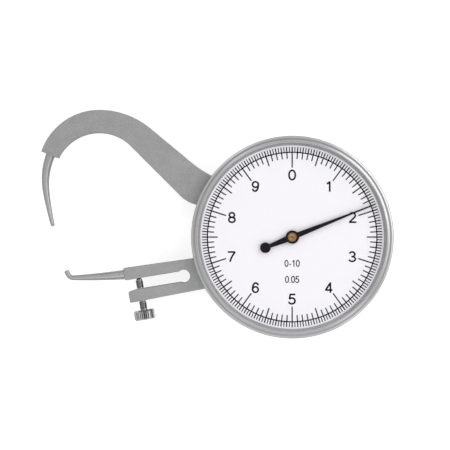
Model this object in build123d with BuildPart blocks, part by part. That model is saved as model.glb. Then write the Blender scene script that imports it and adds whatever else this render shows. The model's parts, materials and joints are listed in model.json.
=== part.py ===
from build123d import *

import math
import os

os.makedirs("parts", exist_ok=True)

# Dial thickness gauge lying on its back.
# +Z points out of the dial, +X and +Y are right and up on the dial,
# and the origin is where the dial axis meets the back face.
# Sizes are millimetres and degrees.

# Fits
seat_gap = 0.02
running_gap = 0.03
end_play = 0.05
plate_gap = 0.1
window_gap = 0.3

# Case, back cover and the stack of levels along the dial axis
case_radius = 25.0
case_wall = 2.0
case_edge_chamfer = 0.6
case_back_rim = 2.5
cover_thickness = 1.2
cover_edge_chamfer = 0.25
flange_width = 5.0
flange_thickness = 1.2
main_plate_thickness = 1.4
arm_land_height = 0.8
arm_thickness = 3.6
arm_edge_round = 0.2
sector_thickness = 0.8
bridge_headroom = 0.6
bridge_thickness = 1.0
dial_gap = 0.2
dial_thickness = 0.4
rim_above_dial = 0.1

# Bezel, dial ring and crystal
bezel_wall = 0.9
bezel_above_arm = 0.5
bezel_shoulder_width = 0.5
bezel_shoulder_fall = 0.22
bezel_edge_round = 0.3
bezel_ridge_width = 0.46
bezel_ridge_height = 0.45
bezel_ridge_fall = 0.2
bezel_ridge_bevel = 0.12
bezel_lip = 0.3
glass_wall = 0.65
dial_ring_width = 0.85
dial_ring_lip = 0.08
dial_ring_height = 1.7
crystal_thickness = 0.7
crystal_edge_chamfer = 0.15
dial_centre_hole_radius = 1.3

# Pointer
pointer_ring_gap = 1.2
pointer_root_width = 1.44
pointer_needle_length = 5.9
pointer_needle_width = 0.46
pointer_tip_width = 0.34
pointer_boss_radius = 1.72
pointer_tail_length = 7.4
pointer_tail_root_width = 1.74
pointer_tail_width = 0.84
pointer_tail_disc_radius = 1.36
pointer_thickness = 0.22
pointer_above_dial = 0.75
pointer_hub_radius = 1.16
pointer_hub_chamfer = 0.2
pointer_hub_cap = 0.35
pointer_hub_body_radius = 0.95
pointer_hub_foot_radius = 1.52
pointer_hub_dimple_depth = 0.2
pointer_hub_dish_radius = 0.86
pointer_hub_dish_depth = 0.12

# Measuring geometry; insets run inwards and reaches run outwards from the
# left side of the case, so that both arms keep their place on it
turn_reading = 10.0
open_gap = 11.9
arm_pivot_inset = 12.4
arm_pivot_rise = 10.77
tip_reach = 49.8
open_tip_angle = 189.3

# Moving arm outline, in the plane of the dial
crown_reach = 24.65
crown_rise = 16.95
crown_radius = 15.9
crown_start_angle = 161.2
shoulder_radius = 20.6
outer_edge_fall = 39.7
outer_edge_length = 14.2
outer_flare_radius = 25.0
outer_flare_angle = 24.0
throat_beyond_crown = 0.22
throat_below_crown = 1.62
throat_radius = 11.6
throat_start_angle = 154.6
throat_edge_fall = 45.0
throat_edge_length = 18.35
throat_root_radius = 8.2
throat_root_angle = 38.0
arm_boss_wall = 0.45
boss_top_angle = 75.0
boss_bottom_angle = -100.0

# Fixed arm, a fork with a keyhole slot; lengths run along it from the keyhole
fork_reach = 2.9
fork_drop = 10.12
fork_tilt = 9.4
fork_tip_half_width = 4.6
fork_root_half_width = 3.86
fork_upper_length = 15.12
fork_lower_length = 14.75
fork_root_length = 14.6
slot_half_width = 1.35
keyhole_radius = 1.66
prong_bevel_length = 2.3
prong_bevel_rise = 0.35
prong_corner_round = 0.35

# Contacts, two tapered bent pins
contact_root_radius = 1.25
contact_root_shift = 0.1
contact_socket_depth = 3.0
upper_contact_bend_radius = 18.1
upper_contact_bend_angle = 30.0
upper_contact_tip_radius = 0.5
upper_contact_heading = -112.0
lower_contact_tip_heading = 119.7
lower_contact_tip_straight = 1.3
lower_contact_bend_radius = 1.5
lower_contact_bend_angle = 61.8
lower_contact_hook_radius = 0.65
contact_tip_round = 0.42
contact_stations = 7

# Adjusting screw
screw_from_keyhole = 11.6
screw_shank_radius = 0.85
screw_tip_radius = 0.5
screw_head_from_slot = 7.0
screw_head_radius = 2.72
screw_head_height = 2.5
screw_head_chamfer = 0.35
knurl_count = 30
knurl_depth = 0.2

# Gear train: sector, intermediate pinion and wheel, centre pinion, take-up wheel
sector_full_teeth = 120
pinion_leaves = 14
train_wheel_teeth = 51
take_up_teeth = 44
sector_module = 0.18
train_module = 0.25
tooth_backlash = 0.22
addendum_share = 0.85
dedendum_share = 1.2
pressure_angle = 20.0
sector_spare_teeth = 2
wheel_above_plate = 1.4
wheel_thickness = 0.6
pinion_overlap = 0.2
wheel_web_radius = 2.6
wheel_rim = 1.2
wheel_spokes = 4
wheel_spoke_width = 1.0
arbor_radius = 0.7
pivot_radius = 0.4
centre_top_radius = 0.6
centre_tip_radius = 0.37
sector_flank_angle = 20.0
window_low_margin = 5.0
window_high_margin = 2.5

# Arm pivot
arm_shaft_radius = 1.5
arm_shaft_collar_radius = 2.4
arm_pivot_radius = 1.0
arm_bush_radius = 2.0
sector_head_radius = 1.0
sector_head_height = 0.4
sector_screw_depth = 2.0
sector_thread_depth = 2.2

# Springs, stop and posts
leaf_thickness = 0.3
leaf_height = 2.4
leaf_post_inset = 16.4
leaf_post_rise = 0.4
leaf_post_radius = 1.1
leaf_sag = 2.2
leaf_touch_share = 0.35
stop_pin_radius = 0.7
stop_pin_height = 4.6
stop_from_boss = 3.2
hairspring_height = 0.5
hairspring_thickness = 0.14
hairspring_pitch = 0.9
hairspring_half_turns = 7
hairspring_above_wheel = 1.2
collet_radius = 1.1
collet_height = 0.9
stud_radius = 0.45

# Fasteners: small screws, pillars and dowels
small_screw_radius = 0.6
small_head_radius = 1.1
small_head_height = 0.6
cover_screw_inset = 2.3
cover_screw_radius = 0.7
cover_head_radius = 1.4
screw_slot_width = 0.3
screw_slot_depth = 0.3
pillar_inset = 3.4
pillar_angles = (95.0, 15.0, -60.0, -120.0)
pillar_radius = 1.6
pillar_spigot_radius = 0.9
pillar_spigot_depth = 0.9
pillar_thread_depth = 3.0
bridge_screw_depth = 2.5
plate_screw_inset = 2.3
plate_screw_angles = (55.0, -22.0, -90.0, 178.0)
arm_screw_places = ((8.6, 0.9), (12.6, -1.3))
arm_dowel_places = ((9.6, -2.3), (12.4, 2.2))
arm_screw_radius = 0.9
arm_screw_head_radius = 1.6
arm_screw_head_height = 0.9
dowel_radius = 0.75

# Levels worked out from the stack
flange_top_z = cover_thickness + flange_thickness
plate_top_z = flange_top_z + main_plate_thickness
arm_bottom_z = plate_top_z + arm_land_height
arm_top_z = arm_bottom_z + arm_thickness
arm_mid_z = arm_bottom_z + arm_thickness / 2
sector_top_z = arm_top_z + sector_thickness
bridge_bottom_z = sector_top_z + bridge_headroom
bridge_top_z = bridge_bottom_z + bridge_thickness
dial_bottom_z = bridge_top_z + dial_gap
dial_top_z = dial_bottom_z + dial_thickness
case_rim_z = dial_top_z + rim_above_dial
ring_top_z = dial_top_z + dial_ring_height
crystal_top_z = ring_top_z + crystal_thickness
bezel_top_z = crystal_top_z + bezel_lip
bezel_bottom_z = arm_top_z + bezel_above_arm
pointer_bottom_z = dial_top_z + pointer_above_dial
pointer_top_z = pointer_bottom_z + pointer_thickness
hub_top_z = pointer_top_z + pointer_hub_cap
wheel_bottom_z = plate_top_z + wheel_above_plate
wheel_top_z = wheel_bottom_z + wheel_thickness
chamber_radius = case_radius - case_wall
glass_radius = case_radius - glass_wall
bezel_radius = case_radius + bezel_wall
cover_radius = case_radius - case_back_rim
flange_bore_radius = chamber_radius - flange_width
main_plate_radius = chamber_radius - plate_gap
dial_view_radius = glass_radius - dial_ring_width
pointer_length = dial_view_radius - pointer_ring_gap
pointer_needle_start = pointer_length - pointer_needle_length
cover_screw_circle = cover_radius - cover_screw_inset
pillar_circle = main_plate_radius - pillar_inset
plate_screw_circle = main_plate_radius - plate_screw_inset
sector_screw_offset = arm_shaft_radius + sector_head_radius + end_play
arm_boss_radius = sector_screw_offset + small_screw_radius + arm_boss_wall

# Places worked out from the measuring geometry
arm_pivot = Vector(arm_pivot_inset - case_radius, arm_pivot_rise)
fork_centre = Vector(-case_radius - fork_reach, -fork_drop)
closing_swing = 2 * math.degrees(math.asin(open_gap / 2 / tip_reach))


def polar(radius, angle):
    """Return the point at this radius and angle, in degrees, as a vector."""
    return Vector(radius * math.cos(math.radians(angle)), radius * math.sin(math.radians(angle)))


def flat(point):
    """Return a vector's X and Y as a pair."""
    return (point.X, point.Y)


def level(point, height):
    """Return the point of the dial plane at this height."""
    return Vector(point.X, point.Y, height)


def bearing(start, end):
    """Return the angle, in degrees, of the line from start to end."""
    return math.degrees(math.atan2(end.Y - start.Y, end.X - start.X))


upper_tip = arm_pivot + polar(tip_reach, open_tip_angle)
lower_tip = arm_pivot + polar(tip_reach, open_tip_angle + closing_swing)

# The intermediate arbor stands where its two centre distances meet.
sector_distance = (sector_full_teeth + pinion_leaves) * sector_module / 2
train_distance = (train_wheel_teeth + pinion_leaves) * train_module / 2
take_up_distance = (take_up_teeth + pinion_leaves) * train_module / 2
pivot_distance = arm_pivot.length
pivot_bearing = bearing(Vector(0, 0), arm_pivot)
along_pivot = (train_distance**2 - sector_distance**2 + pivot_distance**2) / (2 * pivot_distance)
intermediate_bearing = pivot_bearing - math.degrees(math.acos(along_pivot / train_distance))
intermediate = polar(train_distance, intermediate_bearing)
take_up_bearing = intermediate_bearing + 180 + 360 / pinion_leaves
take_up = polar(take_up_distance, take_up_bearing)
sector_bearing = bearing(arm_pivot, intermediate)

# The fork's own plane: its x axis runs from the prong ends to the dial.
fork_along = polar(1, fork_tilt)
fork_across = polar(1, fork_tilt + 90)


def fork_point(along, across):
    """Return a point of the dial plane given in the fork's own directions."""
    return fork_centre + fork_along * along + fork_across * across


def fork_plane(height):
    """Return the fork's plane at this height."""
    return Plane(
        origin=(fork_centre.X, fork_centre.Y, height),
        x_dir=(fork_along.X, fork_along.Y, 0),
        z_dir=(0, 0, 1),
    )


def finish(piece, name):
    """Label the finished piece and write its STEP file."""
    piece.part.label = name
    export_step(piece.part, f"parts/{name}.step")


def disc(place, radius, bottom, top, mode=Mode.ADD):
    """Add or cut an upright cylinder between two heights."""
    with BuildSketch(Plane.XY.offset(bottom)) as section:
        with Locations(flat(place)):
            Circle(radius)
    extrude(section.sketch, amount=top - bottom, mode=mode)


def stepped_bar(place, bottom, steps):
    """Add a turned bar: each step is its radius and the height where it ends."""
    for radius, top in steps:
        disc(place, radius, bottom, top)
        bottom = top


def turn_profile(points):
    """Revolve a closed outline of (radius, height) points about the dial axis."""
    with BuildSketch(Plane.XZ) as profile:
        with BuildLine():
            Polyline(*points, close=True)
        make_face()
    revolve(profile.sketch, axis=Axis.Z)


def gear_points(centre, teeth, module, tooth_at, first=0, count=None):
    """Return the outline of a run of straight-flanked teeth, one centred at tooth_at."""
    pitch_radius = teeth * module / 2
    tip_radius = pitch_radius + addendum_share * module
    root_radius = pitch_radius - dedendum_share * module
    half = math.pi * module / 4 * (1 - tooth_backlash)
    slope = math.tan(math.radians(pressure_angle))
    tip_half = math.degrees((half - (tip_radius - pitch_radius) * slope) / tip_radius)
    root_half = math.degrees((half + (pitch_radius - root_radius) * slope) / root_radius)
    points = []
    for index in range(first, first + (count or teeth)):
        middle = tooth_at + index * 360 / teeth
        for radius, turn in (
            (root_radius, -root_half),
            (tip_radius, -tip_half),
            (tip_radius, tip_half),
            (root_radius, root_half),
        ):
            points.append(flat(centre + polar(radius, middle + turn)))
    return points


def gear_blank(centre, teeth, module, tooth_at, bottom, top):
    """Add a full toothed disc."""
    with BuildSketch(Plane.XY.offset(bottom)) as blank:
        with BuildLine():
            Polyline(*gear_points(centre, teeth, module, tooth_at), close=True)
        make_face()
    extrude(blank.sketch, amount=top - bottom)


def spoke_windows(centre, outer_radius, bottom, top):
    """Cut the open windows between a wheel's spokes."""
    gap = 360 / wheel_spokes
    half_width = math.degrees(wheel_spoke_width / 2 / wheel_web_radius)
    rim_half_width = math.degrees(wheel_spoke_width / 2 / outer_radius)
    with BuildSketch(Plane.XY.offset(bottom)) as windows:
        for index in range(wheel_spokes):
            start = index * gap
            inner = [centre + polar(wheel_web_radius, start + half_width),
                     centre + polar(wheel_web_radius, start + gap / 2),
                     centre + polar(wheel_web_radius, start + gap - half_width)]
            outer = [centre + polar(outer_radius, start + gap - rim_half_width),
                     centre + polar(outer_radius, start + gap / 2),
                     centre + polar(outer_radius, start + rim_half_width)]
            with BuildLine():
                ThreePointArc(*[flat(point) for point in inner])
                Line(flat(inner[2]), flat(outer[0]))
                ThreePointArc(*[flat(point) for point in outer])
                Line(flat(outer[2]), flat(inner[0]))
            make_face()
    extrude(windows.sketch, amount=top - bottom, mode=Mode.SUBTRACT)


def slotted_screw(place, head_bottom, shank_end, shank_radius, head_radius, head_height):
    """Add a cheese-head screw whose head is above its shank."""
    disc(place, shank_radius, shank_end, head_bottom)
    disc(place, head_radius, head_bottom, head_bottom + head_height)
    with BuildSketch(Plane.XY.offset(head_bottom + head_height - screw_slot_depth)) as slot:
        with Locations(flat(place)):
            Rectangle(2 * head_radius + end_play, screw_slot_width)
    extrude(slot.sketch, amount=screw_slot_depth, mode=Mode.SUBTRACT)


def moving_arm_outline():
    """Draw the C-shaped arm's outline, closed across its boss."""
    crown = Vector(-case_radius - crown_reach, crown_rise)
    shoulder = crown + Vector(0, crown_radius - shoulder_radius)
    throat = crown - Vector(throat_beyond_crown, throat_below_crown)
    crown_arc = CenterArc(flat(crown), crown_radius, crown_start_angle, 90 - crown_start_angle)
    shoulder_arc = CenterArc(flat(shoulder), shoulder_radius, 90, -outer_edge_fall)
    outer_edge = Line(shoulder_arc @ 1, (shoulder_arc @ 1) + polar(outer_edge_length, -outer_edge_fall))
    flare = JernArc(outer_edge @ 1, outer_edge % 1, outer_flare_radius, outer_flare_angle)
    boss_top = arm_pivot + polar(arm_boss_radius, boss_top_angle)
    boss_bottom = arm_pivot + polar(arm_boss_radius, boss_bottom_angle)
    throat_arc = CenterArc(
        flat(throat), throat_radius, throat_start_angle, 90 - throat_edge_fall - throat_start_angle
    )
    throat_edge = Line(throat_arc @ 1, (throat_arc @ 1) + polar(throat_edge_length, -throat_edge_fall))
    throat_root = JernArc(throat_edge @ 1, throat_edge % 1, throat_root_radius, throat_root_angle)
    Line(flare @ 1, flat(boss_top))
    Line(flat(boss_top), flat(boss_bottom))
    Line(flat(boss_bottom), throat_root @ 1)
    Line(throat_arc @ 0, crown_arc @ 0)
    return flare @ 1, throat_root @ 1, boss_top, boss_bottom, crown_arc @ 0, throat_arc @ 0


# Measure the arm's outline once, for the pieces that meet it.
with BuildLine() as arm_lines:
    (flare_end, root_end, boss_top, boss_bottom, outer_corner, inner_corner) = moving_arm_outline()
arm_end_middle = (outer_corner + inner_corner) * 0.5

# Paths of the two contacts, each from its root to its tip
upper_root = arm_end_middle + (inner_corner - outer_corner).normalized() * contact_root_shift
with BuildLine(Plane.XY.offset(arm_mid_z)) as upper_contact_path:
    upper_bend = JernArc(
        flat(upper_root),
        polar(1, upper_contact_heading),
        upper_contact_bend_radius,
        upper_contact_bend_angle,
    )
    TangentArc(upper_bend @ 1, level(upper_tip, arm_mid_z), tangent=upper_bend % 1)

prong_middle = (fork_tip_half_width + slot_half_width) / 2
lower_root = fork_point(-fork_upper_length, prong_middle - contact_root_shift)
with BuildLine(Plane.XY.offset(arm_mid_z)) as lower_hook_path:
    tip_line = Line(
        flat(lower_tip),
        flat(lower_tip - polar(lower_contact_tip_straight, lower_contact_tip_heading)),
    )
    tip_bend = JernArc(tip_line @ 1, tip_line % 1, lower_contact_bend_radius, lower_contact_bend_angle)
with BuildLine(Plane.XY.offset(arm_mid_z)) as lower_stem_path:
    TangentArc(tip_bend @ 1, level(lower_root, arm_mid_z), tangent=tip_bend % 1)
lower_socket_plane = Plane(
    origin=level(lower_root, arm_mid_z), x_dir=(0, 0, 1), z_dir=lower_stem_path.wire() % 1
)
upper_socket_plane = Plane(
    origin=level(upper_root, arm_mid_z), x_dir=(0, 0, 1), z_dir=polar(-1, upper_contact_heading)
)


def contact_socket(socket_plane):
    """Cut the round socket of a contact, from just outside the arm's end face."""
    with BuildSketch(socket_plane.offset(-contact_root_radius)) as socket:
        Circle(contact_root_radius + seat_gap)
    socket_length = contact_root_radius + contact_socket_depth + seat_gap
    extrude(socket.sketch, amount=socket_length, mode=Mode.SUBTRACT)


# Case: a turned cup with a back recess, an inner flange and a seat for the dial
with BuildPart() as case_body:
    turn_profile([
        (cover_radius + seat_gap, 0),
        (case_radius, 0),
        (case_radius, case_rim_z),
        (glass_radius, case_rim_z),
        (glass_radius, dial_bottom_z),
        (chamber_radius, dial_bottom_z),
        (chamber_radius, flange_top_z),
        (flange_bore_radius, flange_top_z),
        (flange_bore_radius, cover_thickness),
        (cover_radius + seat_gap, cover_thickness),
    ])
    back_edges = case_body.edges().filter_by(GeomType.CIRCLE).group_by(Axis.Z)[0]
    back_rim = back_edges.sort_by(SortBy.RADIUS)[-1]
    chamfer(back_rim, case_edge_chamfer)
    # Window for the moving arm, over its whole swing
    swept_low = (root_end - arm_pivot).rotate(Axis.Z, closing_swing) + arm_pivot
    window_low = bearing(Vector(0, 0), swept_low) + window_low_margin
    window_high = bearing(Vector(0, 0), flare_end) - window_high_margin
    beyond_case = 2 * case_radius
    with BuildSketch(Plane.XY.offset(arm_bottom_z - window_gap)):
        with BuildLine():
            Polyline(
                (0, 0),
                flat(polar(beyond_case, window_high)),
                flat(polar(beyond_case, window_low)),
                close=True,
            )
        make_face()
    extrude(amount=arm_thickness + 2 * window_gap, mode=Mode.SUBTRACT)
    # Window for the fixed arm
    with BuildSketch(fork_plane(arm_bottom_z - seat_gap)):
        with BuildLine():
            Polyline(
                (-fork_upper_length, fork_tip_half_width + seat_gap),
                (fork_root_length + seat_gap, fork_root_half_width + seat_gap),
                (fork_root_length + seat_gap, -fork_root_half_width - seat_gap),
                (-fork_upper_length, -fork_tip_half_width - seat_gap),
                close=True,
            )
        make_face()
    extrude(amount=arm_thickness + 2 * seat_gap, mode=Mode.SUBTRACT)
    # Threads for the back cover and the main plate
    with BuildSketch(Plane.XY.offset(cover_thickness)):
        with PolarLocations(cover_screw_circle, 4, start_angle=45):
            Circle(cover_screw_radius + seat_gap)
        for angle in plate_screw_angles:
            with Locations(flat(polar(plate_screw_circle, angle))):
                Circle(small_screw_radius + seat_gap)
    extrude(amount=flange_thickness, mode=Mode.SUBTRACT)
finish(case_body, "case_body")

with BuildPart() as back_cover:
    disc(Vector(0, 0), cover_radius, 0, cover_thickness)
    outer_edge = back_cover.edges().filter_by(GeomType.CIRCLE).group_by(Axis.Z)[0]
    chamfer(outer_edge, cover_edge_chamfer)
    with Locations(Plane.XY.rotated((180, 0, 0))):
        with PolarLocations(cover_screw_circle, 4, start_angle=45):
            CounterSinkHole(
                radius=cover_screw_radius + seat_gap,
                counter_sink_radius=cover_head_radius,
                counter_sink_angle=90,
            )
finish(back_cover, "back_cover")

# Countersunk screws of the back cover; their heads lie just under the back face
with BuildPart() as back_cover_screws:
    with BuildSketch(Plane.XY.offset(seat_gap)):
        with PolarLocations(cover_screw_circle, 4, start_angle=45):
            Circle(cover_head_radius - 2 * seat_gap)
    extrude(amount=cover_head_radius - cover_screw_radius, taper=45)
    with BuildSketch(Plane.XY.offset(seat_gap + cover_head_radius - cover_screw_radius)):
        with PolarLocations(cover_screw_circle, 4, start_angle=45):
            Circle(cover_screw_radius - 2 * seat_gap)
    extrude(amount=flange_top_z - cover_head_radius + cover_screw_radius - 2 * seat_gap)
    with BuildSketch():
        with PolarLocations(cover_screw_circle, 4, start_angle=45, rotate=False):
            Rectangle(2 * cover_head_radius + end_play, screw_slot_width)
    extrude(amount=screw_slot_depth, mode=Mode.SUBTRACT)
finish(back_cover_screws, "back_cover_screws")

# Bezel: a ring pressed on the case rim, with a bevelled shoulder and a raised ridge round the crystal
with BuildPart() as bezel:
    bore = case_radius + seat_gap
    step_z = case_rim_z + seat_gap
    ridge_outer = glass_radius + bezel_ridge_width
    side_top_z = bezel_top_z - bezel_ridge_height
    with BuildSketch(Plane.XZ):
        with BuildLine():
            Polyline(
                (glass_radius, bezel_top_z),
                (glass_radius, step_z),
                (bore, step_z),
                (bore, bezel_bottom_z),
                (bezel_radius, bezel_bottom_z),
                (bezel_radius, side_top_z - bezel_shoulder_fall),
                (bezel_radius - bezel_shoulder_width, side_top_z),
                (ridge_outer + bezel_ridge_bevel, side_top_z),
                (ridge_outer, bezel_top_z - bezel_ridge_fall),
                close=True,
            )
        make_face()
    revolve(axis=Axis.Z)
    widest_edges = bezel.edges().filter_by(GeomType.CIRCLE).group_by(SortBy.RADIUS)[-1]
    fillet(widest_edges.sort_by(Axis.Z)[-1], bezel_edge_round)
finish(bezel, "bezel")

# Dial ring: the sloping ring between the dial's edge and the crystal
with BuildPart() as dial_ring:
    ring_radius = glass_radius - seat_gap
    turn_profile([
        (dial_view_radius, dial_top_z),
        (ring_radius, dial_top_z),
        (ring_radius, ring_top_z),
        (ring_radius - dial_ring_lip, ring_top_z),
    ])
finish(dial_ring, "dial_ring")

with BuildPart() as crystal:
    disc(Vector(0, 0), glass_radius - seat_gap, ring_top_z, crystal_top_z)
    crystal_edge = crystal.edges().filter_by(GeomType.CIRCLE).group_by(Axis.Z)[-1]
    chamfer(crystal_edge, crystal_edge_chamfer)
finish(crystal, "crystal")

with BuildPart() as dial_plate:
    disc(Vector(0, 0), glass_radius - seat_gap, dial_bottom_z, dial_top_z)
    disc(Vector(0, 0), dial_centre_hole_radius, dial_bottom_z, dial_top_z, Mode.SUBTRACT)
finish(dial_plate, "dial_plate")

# Main plate of the movement, with a land that carries the fixed arm
with BuildPart() as main_plate:
    disc(Vector(0, 0), main_plate_radius, flange_top_z, plate_top_z)
    dial_from_fork = -fork_centre
    with BuildSketch(fork_plane(plate_top_z)):
        with Locations((fork_root_length / 2, 0)):
            Rectangle(fork_root_length, 2 * fork_root_half_width)
        with Locations((dial_from_fork.dot(fork_along), dial_from_fork.dot(fork_across))):
            Circle(main_plate_radius, mode=Mode.INTERSECT)
    extrude(amount=arm_land_height)
    disc(arm_pivot, arm_bush_radius + seat_gap, flange_top_z, plate_top_z, Mode.SUBTRACT)
    for arbor_place in (intermediate, Vector(0, 0), take_up):
        disc(arbor_place, pivot_radius + running_gap, flange_top_z, plate_top_z, Mode.SUBTRACT)
    spigot_bottom_z = plate_top_z - pillar_spigot_depth
    for angle in pillar_angles:
        disc(
            polar(pillar_circle, angle), pillar_spigot_radius + seat_gap,
            spigot_bottom_z, plate_top_z, Mode.SUBTRACT,
        )
    for angle in plate_screw_angles:
        screw_place = polar(plate_screw_circle, angle)
        disc(screw_place, small_screw_radius + seat_gap, flange_top_z, plate_top_z, Mode.SUBTRACT)
        disc(
            screw_place, small_head_radius + seat_gap,
            plate_top_z - small_head_height - seat_gap, plate_top_z, Mode.SUBTRACT,
        )
    for along, across in arm_screw_places:
        disc(
            fork_point(along, across), arm_screw_radius + seat_gap,
            flange_top_z, arm_bottom_z, Mode.SUBTRACT,
        )
    for along, across in arm_dowel_places:
        dowel_place = fork_point(along, across)
        disc(dowel_place, dowel_radius + seat_gap, flange_top_z, arm_bottom_z, Mode.SUBTRACT)
finish(main_plate, "main_plate")

with BuildPart() as main_plate_screws:
    for angle in plate_screw_angles:
        slotted_screw(
            polar(plate_screw_circle, angle), plate_top_z - small_head_height,
            cover_thickness + seat_gap, small_screw_radius, small_head_radius, small_head_height,
        )
finish(main_plate_screws, "main_plate_screws")

with BuildPart() as pillars:
    for angle in pillar_angles:
        pillar_place = polar(pillar_circle, angle)
        stepped_bar(pillar_place, spigot_bottom_z + seat_gap, [
            (pillar_spigot_radius, plate_top_z),
            (pillar_radius, bridge_bottom_z),
        ])
        disc(
            pillar_place, small_screw_radius + seat_gap,
            bridge_bottom_z - pillar_thread_depth, bridge_bottom_z, Mode.SUBTRACT,
        )
finish(pillars, "pillars")

# Bridge: the upper plate of the movement, on the pillars
with BuildPart() as bridge_plate:
    disc(Vector(0, 0), main_plate_radius, bridge_bottom_z, bridge_top_z)
    disc(arm_pivot, arm_bush_radius + seat_gap, bridge_bottom_z, bridge_top_z, Mode.SUBTRACT)
    disc(Vector(0, 0), centre_top_radius + running_gap, bridge_bottom_z, bridge_top_z, Mode.SUBTRACT)
    for arbor_place in (intermediate, take_up):
        disc(arbor_place, pivot_radius + running_gap, bridge_bottom_z, bridge_top_z, Mode.SUBTRACT)
    for angle in pillar_angles:
        screw_place = polar(pillar_circle, angle)
        disc(screw_place, small_screw_radius + seat_gap, bridge_bottom_z, bridge_top_z, Mode.SUBTRACT)
        disc(
            screw_place, small_head_radius + seat_gap,
            bridge_top_z - small_head_height - seat_gap, bridge_top_z, Mode.SUBTRACT,
        )
finish(bridge_plate, "bridge_plate")

with BuildPart() as bridge_screws:
    for angle in pillar_angles:
        slotted_screw(
            polar(pillar_circle, angle), bridge_top_z - small_head_height,
            bridge_bottom_z - bridge_screw_depth,
            small_screw_radius, small_head_radius, small_head_height,
        )
finish(bridge_screws, "bridge_screws")


def bush(bottom, top):
    """Add one bush of the arm pivot."""
    disc(arm_pivot, arm_bush_radius, bottom, top)
    disc(arm_pivot, arm_pivot_radius + running_gap, bottom, top, Mode.SUBTRACT)


with BuildPart() as lower_arm_bush:
    bush(flange_top_z, plate_top_z)
finish(lower_arm_bush, "lower_arm_bush")

with BuildPart() as upper_arm_bush:
    bush(bridge_bottom_z, bridge_top_z)
finish(upper_arm_bush, "upper_arm_bush")

# Fixed arm: a forked plate; the keyhole slot lets the upper prong bend
with BuildPart() as fixed_arm:
    with BuildSketch(fork_plane(arm_bottom_z)):
        with BuildLine():
            Polyline(
                (-fork_upper_length, fork_tip_half_width),
                (fork_root_length, fork_root_half_width),
                (fork_root_length, -fork_root_half_width),
                (-fork_lower_length, -fork_tip_half_width),
                (-fork_lower_length, -slot_half_width - prong_bevel_rise),
                (-fork_lower_length + prong_bevel_length, -slot_half_width),
                (0, -slot_half_width),
                (0, slot_half_width),
                (-fork_upper_length, slot_half_width),
                close=True,
            )
        make_face()
        Circle(keyhole_radius, mode=Mode.SUBTRACT)
    extrude(amount=arm_thickness)
    prong_corners = fixed_arm.edges().filter_by(Axis.Z).sort_by(Axis.X)[:4]
    fillet(prong_corners, prong_corner_round)
    flat_edges = fixed_arm.faces().filter_by(Axis.Z).edges()
    fillet(flat_edges, arm_edge_round)
    contact_socket(lower_socket_plane)
    # Threaded hole of the adjusting screw, through the lower prong
    screw_centre = fork_point(-screw_from_keyhole, 0)
    with BuildSketch(Plane(origin=level(screw_centre, arm_mid_z), z_dir=-fork_across)):
        Circle(screw_shank_radius + running_gap)
    extrude(amount=screw_head_from_slot, mode=Mode.SUBTRACT)
    for along, across in arm_screw_places:
        screw_hole = fork_point(along, across)
        disc(screw_hole, arm_screw_radius + seat_gap, arm_bottom_z, arm_top_z, Mode.SUBTRACT)
    for along, across in arm_dowel_places:
        dowel_hole = fork_point(along, across)
        disc(dowel_hole, dowel_radius + seat_gap, arm_bottom_z, arm_top_z, Mode.SUBTRACT)
finish(fixed_arm, "fixed_arm")

with BuildPart() as fixed_arm_screws:
    for along, across in arm_screw_places:
        slotted_screw(
            fork_point(along, across), arm_top_z, flange_top_z + seat_gap,
            arm_screw_radius, arm_screw_head_radius, arm_screw_head_height,
        )
finish(fixed_arm_screws, "fixed_arm_screws")

with BuildPart() as fixed_arm_dowels:
    for along, across in arm_dowel_places:
        disc(fork_point(along, across), dowel_radius, flange_top_z + seat_gap, arm_top_z - seat_gap)
finish(fixed_arm_dowels, "fixed_arm_dowels")


def tapered_bar(path, start_radius, end_radius):
    """Loft a round tapered bar along a path."""
    sections = []
    for index in range(contact_stations):
        share = index / (contact_stations - 1)
        with BuildSketch(Plane(origin=path @ share, x_dir=(0, 0, 1), z_dir=path % share)) as station:
            Circle(start_radius + (end_radius - start_radius) * share)
        sections.append(station.sketch)
    loft(sections)


def round_tip(builder, tip):
    """Round the edge of the end face at a contact's tip."""
    tip_face = builder.faces().sort_by_distance(level(tip, arm_mid_z))[0]
    fillet(tip_face.edges(), contact_tip_round)


with BuildPart() as lower_contact:
    hook = lower_hook_path.wire()
    with BuildSketch(Plane(origin=hook @ 0, x_dir=(0, 0, 1), z_dir=hook % 0)):
        Circle(lower_contact_hook_radius)
    sweep(path=hook)
    tapered_bar(lower_stem_path.wire(), lower_contact_hook_radius, contact_root_radius)
    round_tip(lower_contact, lower_tip)
    with BuildSketch(lower_socket_plane):
        Circle(contact_root_radius)
    extrude(amount=contact_socket_depth)
finish(lower_contact, "lower_contact")

# Moving arm: a C-shaped plate with a boss round its pivot
with BuildPart() as moving_arm:
    with BuildSketch(Plane.XY.offset(arm_bottom_z)):
        with BuildLine():
            moving_arm_outline()
        make_face()
        with Locations(flat(arm_pivot)):
            Circle(arm_boss_radius)
    extrude(amount=arm_thickness)
    fillet(moving_arm.faces().filter_by(Axis.Z).edges(), arm_edge_round)
    disc(arm_pivot, arm_shaft_radius + seat_gap, arm_bottom_z, arm_top_z, Mode.SUBTRACT)
    contact_socket(upper_socket_plane)
    sector_screw_side = polar(sector_screw_offset, sector_bearing + 90)
    for side in (sector_screw_side, -sector_screw_side):
        disc(
            arm_pivot + side, small_screw_radius + seat_gap,
            arm_top_z - sector_thread_depth, arm_top_z, Mode.SUBTRACT,
        )
finish(moving_arm, "moving_arm")

with BuildPart() as upper_contact:
    tapered_bar(upper_contact_path.wire(), contact_root_radius, upper_contact_tip_radius)
    round_tip(upper_contact, upper_tip)
    with BuildSketch(upper_socket_plane):
        Circle(contact_root_radius)
    extrude(amount=contact_socket_depth)
finish(upper_contact, "upper_contact")

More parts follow.
